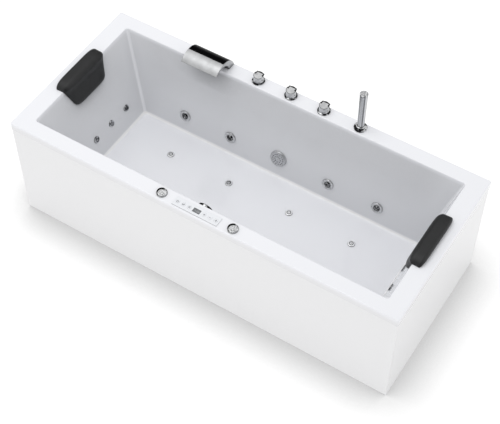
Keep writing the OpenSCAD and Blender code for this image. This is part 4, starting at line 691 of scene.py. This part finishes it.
def wall_out(z, axis):
    """How far the basin's face stands from the middle at height z: floor fillet, wall or rim edge."""
    lean, half_floor = LEAN[axis], (FLOOR_L, FLOOR_W)[axis] / 2
    fillet_in = half_floor - BASIN_R * (1 - np.sin(lean)) / np.cos(lean)
    if z < FLOOR_Z + BASIN_R * (1 - np.sin(lean)):
        return fillet_in + math.sqrt(max(0.0, BASIN_R ** 2 - (FLOOR_Z + BASIN_R - z) ** 2))
    edge_z = BATH[2] - EDGE_R
    if z > edge_z + EDGE_R * np.sin(lean):
        return edge_out(axis) - math.sqrt(max(0.0, EDGE_R ** 2 - (z - edge_z) ** 2))
    return half_floor + (z - FLOOR_Z) * np.tan(lean)


def corner_radius(z):
    """The basin's plan corner: grows with the floor fillet, then stays."""
    rise = min(1.0, (z - FLOOR_Z) / BASIN_R)
    return BASIN_R * math.sqrt(max(0.0, 1 - (1 - rise) ** 2)) + SHARP_R


def station(outline, inset, radius, z):
    """One ring: its half length and width, drawn in by an inset, its corner radius and its height."""
    return outline[0] - inset, outline[1] - inset, radius, z


floor_half = [wall_out(FLOOR_Z, axis) for axis in (0, 1)]
rim_half = BATH[:2] / 2
lip_z = BATH[2] - LIP
under_z = FLOOR_Z - SHELL
stations = [(floor_half[0] * share, floor_half[1] * share, SHARP_R, FLOOR_Z) for share in FLOOR_SHARES]
levels = list(FLOOR_Z + BASIN_R * (1 - np.cos(np.linspace(0.12, 1.36, 9))))
levels += list(np.linspace(levels[-1] + 0.004, BATH[2] - EDGE_R * 1.6, 12))
levels += list(BATH[2] - EDGE_R + EDGE_R * np.sin(np.linspace(0.1, np.pi / 2 * 0.97, 7)))
stations += [(wall_out(z, 0), wall_out(z, 1), corner_radius(z), z) for z in levels]
stations += [station([edge_out(0), edge_out(1)], -out, BASIN_R * (1 - out / RIM_CORNER_END), BATH[2])
             for out in RIM_STEPS_OUT]
stations.append(station(rim_half, RIM_R * 1.6, RIM_FLAT_CORNER, BATH[2]))
for angle in np.linspace(0, np.pi / 2, 6):
    stations.append(station(rim_half, RIM_R * (1 - math.sin(angle)), RIM_CORNER,
                            BATH[2] - RIM_R * (1 - math.cos(angle))))
stations.append(station(rim_half, 0, RIM_CORNER, BATH[2] - RIM_R * 1.8))
stations.append(station(rim_half, 0, RIM_CORNER, lip_z + LIP_R * 1.5))
for angle in np.linspace(0.2, np.pi / 2, 4):
    stations.append(station(rim_half, LIP_R * (1 - math.cos(angle)), RIM_CORNER,
                            lip_z + LIP_R * (1 - math.sin(angle))))
stations.append(station(rim_half, SHELL, INSIDE_CORNER, lip_z))
stations.append(station(rim_half, SHELL, INSIDE_CORNER, BATH[2] - SHELL))
for z in (BATH[2] - SHELL, FLOOR_Z + UNDER_RISE):
    stations.append((end_wall_x(z) + SHELL / np.cos(LEAN[0]), side_wall_y(z) + SHELL / np.cos(LEAN[1]),
                     UNDER_CORNER, z))
stations.append(station(floor_half, -UNDER_SPREAD, UNDER_FLOOR_CORNERS[0], under_z + UNDER_DROP))
stations.append(station(floor_half, 0, UNDER_FLOOR_CORNERS[1], under_z))
stations.append((floor_half[0] * FLOOR_SHARES[0], floor_half[1] * FLOOR_SHARES[0], SHARP_R, under_z))
print(len(stations), "stations from the floor round the rim and back")


# %% Shell piece
def face_outwards(piece):
    """Turns a closed mesh's faces to look outwards."""
    edit = bmesh.new()
    edit.from_mesh(piece.data)
    bmesh.ops.recalc_face_normals(edit, faces=edit.faces)
    edit.to_mesh(piece.data)
    edit.free()
    piece.data.shade_smooth()


shell_points = np.stack([np.column_stack([rounded_rectangle(x, y, r), np.full(RING_POINTS, z)])
                         for x, y, r, z in stations])
rows, cols = shell_points.shape[:2]
shell_faces = [list(f[::-1]) for f in grid_faces(rows, cols, True)]
shell_faces += [list(range(cols)), [(rows - 1) * cols + k for k in range(cols)][::-1]]
bath_skin = surface_piece("bath_skin", shell_points, shell_faces, "cast_acrylic", "tub", ["bath_shell"])
face_outwards(bath_skin)
print("shell", len(bath_skin.data.polygons), "faces")

# %% [markdown]
# ## Round metal and moulded pieces
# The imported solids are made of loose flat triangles. A copy of each seen fitting is merged and
# shaded smooth up to its real edges, which are then softened with a small bevel, as plating and
# moulding leave them.

# %% Smooth copies
MERGE, FLAT = 2e-6, 0.5             # metres within which points are one, degrees that count as flat
SOFT_MM, KEY_SOFT_MM, SHARP = 0.4, 0.15, 32


def smooth_copy(node, bevel_mm):
    """A merged copy of a CAD node, smooth but for its sharp edges, which get a small bevel."""
    mesh = frame["nodes"][node].data.copy()
    edit = bmesh.new()
    edit.from_mesh(mesh)
    bmesh.ops.remove_doubles(edit, verts=edit.verts, dist=MERGE)
    bmesh.ops.dissolve_limit(edit, angle_limit=math.radians(FLAT), verts=edit.verts, edges=edit.edges)
    bmesh.ops.recalc_face_normals(edit, faces=edit.faces)
    for face in edit.faces:
        face.smooth = True
    for edge in edit.edges:
        edge.smooth = not (len(edge.link_faces) == 2 and edge.calc_face_angle(0) > math.radians(SHARP))
    edit.to_mesh(mesh)
    edit.free()
    piece = bpy.data.objects.new(node + "_skin", mesh)
    bpy.context.scene.collection.objects.link(piece)
    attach(piece, node_body[node])
    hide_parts(node)
    soft = piece.modifiers.new("soft_edges", "BEVEL")
    soft.width = bevel_mm / 1000
    soft.segments = 2
    soft.limit_method = "ANGLE"
    soft.angle_limit = math.radians(SHARP)
    soft.harden_normals = True
    return piece


for node in FITTINGS + KEYS + NOZZLES + ["control_plate", "spout_cover", "display_window"]:
    smooth_copy(node, KEY_SOFT_MM if node in KEYS + ["display_window"] else SOFT_MM)

# %% [markdown]
# ## Symbols and digits
# The keys carry small grey symbols and the display shows four plain digits. Each is a flat ribbon
# that follows a few points, printed a tenth of a millimetre proud, and rides with its key.

# %% Printed ribbons
plain("print_grey", "#4b4e52", 0.4, 1.0, 2.0, 0.02, 0.3)
plain("digit_grey", "#b9bbbd", 0.3, 1.0, 2.0, 0.02, 0.3)
PROUD = 0.0001                      # how far print stands off its key or window
KEY_STROKE, DIGIT_STROKE = 1.6, 0.9


def arc(middle_x, middle_y, radius, start, end, steps=14):
    """Points on a circle from one angle to another, in degrees."""
    turn = np.radians(np.linspace(start, end, steps))
    return np.column_stack([middle_x + radius * np.cos(turn), middle_y + radius * np.sin(turn)])


def ribbon(path, width):
    """Two edges of a flat strip: the path moved half the width to each side of its own direction."""
    path = np.asarray(path, float)
    run = np.gradient(path, axis=0)
    side = np.column_stack([-run[:, 1], run[:, 0]]) / np.linalg.norm(run, axis=1)[:, None] * width / 2
    return np.stack([path + side, path - side], 1)


def printed(name, paths, width, middle, height, material, body):
    """All strips of one symbol, in millimetres round its middle, as one flat mesh that faces up."""
    points, faces, count = [], [], 0
    for path in paths:
        strip = ribbon(path, width)
        points.append(strip.reshape(-1, 2))
        quads = grid_faces(len(strip), 2)
        faces.append(quads[:, ::-1] + count)
        count += 2 * len(strip)
    flat = np.vstack(points) / 1000 + np.asarray(middle)
    points = np.column_stack([flat, np.full(len(flat), height)])
    piece = surface_piece(name, points, np.vstack(faces), material, body)
    edit = bmesh.new()
    edit.from_mesh(piece.data)
    bmesh.ops.recalc_face_normals(edit, faces=edit.faces)
    if sum(face.normal.z for face in edit.faces) < 0:
        bmesh.ops.reverse_faces(edit, faces=edit.faces)
    edit.to_mesh(piece.data)
    edit.free()
    return piece


SYMBOLS = [
    [arc(0, 0, 4.2, 120, 420), [(0, 1.5), (0, 6)]],                                       # on and off
    [arc(-2.5, -1, 2.0, 0, 360), arc(2.8, 1.5, 1.4, 0, 360), arc(1.5, -3.4, 1.0, 0, 360)],  # bubbles
    [[(-5, 2), (-2.5, 4), (0, 2), (2.5, 4), (5, 2)], [(-5, -3), (-2.5, -1), (0, -3), (2.5, -1), (5, -3)]],
    [[(-4.5, 0), (4.5, 0)], [(0, -4.5), (0, 4.5)]],                                       # more
    [[(-4.5, 0), (4.5, 0)]],                                                              # less
    [arc(0, 0, 2.2, 0, 360), [(0, 3.6), (0, 5.4)], [(0, -3.6), (0, -5.4)], [(3.6, 0), (5.4, 0)],
     [(-3.6, 0), (-5.4, 0)]],                                                             # light
]
for key, paths in zip(KEYS, SYMBOLS):
    middle, top = top_of(key)
    printed(key + "_symbol", paths, KEY_STROKE, middle, top + PROUD, "print_grey", node_body[key])

middle, top = top_of("display_window")
BARS = {"a": [(-2, 4.5), (2, 4.5)], "b": [(2.2, 4.2), (2.2, 0.3)], "c": [(2.2, -0.3), (2.2, -4.2)],
        "d": [(-2, -4.5), (2, -4.5)], "e": [(-2.2, -4.2), (-2.2, -0.3)], "f": [(-2.2, 4.2), (-2.2, 0.3)],
        "g": [(-2, 0), (2, 0)]}
for number, (digit, shift) in enumerate(zip(["abc", "abcdef", "abcdefg", "abcdef"], [-9.5, -3.5, 4.0, 10.5])):
    bars = [np.array(BARS[bar]) + [shift, 0] for bar in digit]
    printed("display_digit_%d" % (number + 1), bars, DIGIT_STROKE, middle, top + PROUD, "digit_grey", "tub")
print("symbols and digits printed")

# %% [markdown]
# ## Neck pillows
# Each pillow is one moulded foam form: a round roll that lies on the rim, bends over its edge and
# hangs down the end wall, wide above and narrower below, crowned and drawn in at its sides.
# It is a grid: one parameter runs across the bath, the other along the pillow's back, which fans
# round behind the roll, lies on the rim and then on the wall. Each point is pushed off that back
# line by the crown's height.

# %% Pillow form
ACROSS, ALONG = 84, 120                       # points across the bath and along the back line
BEHIND, ON_RIM, ON_WALL = 0.024, 0.027, 0.108  # lengths of the back line on each stretch
FULL, SEAT = 0.030, 0.0003                    # height of the crown, and its gap to the bath
TOP_HALF, LOW_HALF, ROUND = 0.138, 0.098, 0.024
NARROW_FROM, WAIST = 0.39, 0.02               # share where it starts to narrow, and how much it is drawn in
END_LONG, THIN_LONG, THIN_SHARE = 0.040, 0.042, 0.24
ROLL_CENTRE, ROLL_R, BACK_TURN = 0.457, 0.5, math.radians(88)
TUCK, THINNEST, SPREAD = 0.001, 0.12, 0.8
CREASE_DEPTH, CREASE_AT, CREASE_SLANT, CREASE_WIDE = 0.0012, 0.50, 0.06, 0.035
CREASE_MIDDLE, CREASE_LONG = 0.1, 0.4
FOLD_S = BEHIND + ON_RIM
WALL_S = FOLD_S + FULL * 0.6
PILLOW_LONG = WALL_S + ON_WALL


def pillow_back(s):
    """The pillow's back line: x, z and the tilt of its outward normal, at distance s along it."""
    fold = np.pi / 2 - LEAN[0]
    tilt = np.where(s < BEHIND, -BACK_TURN * (1 - s / BEHIND),
                    fold * np.clip((s - FOLD_S) / (WALL_S - FOLD_S), 0, 1))
    down = np.clip(s - WALL_S, 0, None)
    on_fold = (s >= FOLD_S) * SEAT
    x = (-INNER[0] / 2 - ON_RIM + np.clip(s - BEHIND, 0, ON_RIM) - TUCK * np.clip(1 - s / BEHIND, 0, 1)
         + on_fold * np.sin(tilt) + down * np.sin(LEAN[0]))
    z = BATH[2] + np.where(s < FOLD_S, SEAT, SEAT * np.cos(tilt)) - down * np.cos(LEAN[0])
    return x, z, tilt


def drawn_in(past, radius):
    """How far a quarter round draws an edge in, at a distance past the start of the round."""
    return radius - np.sqrt(radius ** 2 - np.clip(past, 0, radius) ** 2)


def pillow_half(s):
    """Half the pillow's width at distance s: wide at the rim, narrowing below, round at its ends."""
    share = s / PILLOW_LONG
    narrow = np.clip(share - NARROW_FROM, 0, None) / (1 - NARROW_FROM)
    return (TOP_HALF + (LOW_HALF - TOP_HALF) * narrow - drawn_in(ROUND - (PILLOW_LONG - s), ROUND)
            - drawn_in(ROUND / 2 - s, ROUND / 2) - TOP_HALF * WAIST * np.sin(np.pi * share))


def pillow_crown(s, tilt, u):
    """Height off the back: a round roll behind, full on the rim, thinner down the wall, rounded off
    at its lower edge and sides, with a shallow crease where it bends. Thinning is the smooth step
    3p^2 - 2p^3 of the way past the fold, and the crease is a bell on a slanted line."""
    lean = np.minimum(tilt, 0)
    roll = ROLL_CENTRE * np.cos(lean) + np.sqrt(ROLL_R ** 2 - (ROLL_CENTRE * np.sin(lean)) ** 2)
    past = np.clip((s - FOLD_S) / THIN_LONG, 0, 1)
    thin = 1 - THIN_SHARE * past * past * (3 - 2 * past)
    end = np.sqrt(1 - np.clip(1 - (PILLOW_LONG - s) / END_LONG, 0, 1) ** 4)
    side = np.sqrt(1 - np.abs(u) ** 5)
    off_line = (s / PILLOW_LONG - CREASE_AT - CREASE_SLANT * u) / CREASE_WIDE
    crease = CREASE_DEPTH * np.exp(-off_line ** 2 - ((u - CREASE_MIDDLE) / CREASE_LONG) ** 2)
    return FULL * np.maximum(THINNEST, roll * thin * end * side) - crease


def pillow(name, way):
    """The closed pillow skin: its crowned face and its back, joined round the edge."""
    s, u = np.meshgrid(np.linspace(0, PILLOW_LONG, ALONG), np.linspace(-1, 1, ACROSS), indexing="ij")
    x, z, tilt = pillow_back(s)
    y = pillow_half(s) * np.sign(u) * np.abs(u) ** SPREAD
    lift = pillow_crown(s, tilt, u)
    face = np.stack([x + lift * np.sin(tilt), y, z + lift * np.cos(tilt)], -1)
    rear = np.stack([x, y, z], -1)
    points = np.concatenate([rear.reshape(-1, 3), face.reshape(-1, 3)]) * [way, 1, 1]
    quads = grid_faces(ALONG, ACROSS)
    count = ALONG * ACROSS
    edge = np.concatenate([np.arange(ACROSS), np.arange(1, ALONG) * ACROSS + ACROSS - 1,
                           (ALONG - 1) * ACROSS + np.arange(ACROSS - 2, -1, -1),
                           np.arange(ALONG - 2, 0, -1) * ACROSS])
    after = np.roll(edge, -1)
    rim = np.stack([edge, after, after + count, edge + count], -1)
    faces = np.concatenate([quads, quads[:, ::-1] + count, rim])
    piece = surface_piece(name + "_skin", points, faces, "foam_skin", name, [name])
    face_outwards(piece)
    return piece


for name, way in (("pillow_left", 1), ("pillow_right", -1)):
    made = pillow(name, way)
    print(name, len(made.data.polygons), "faces")
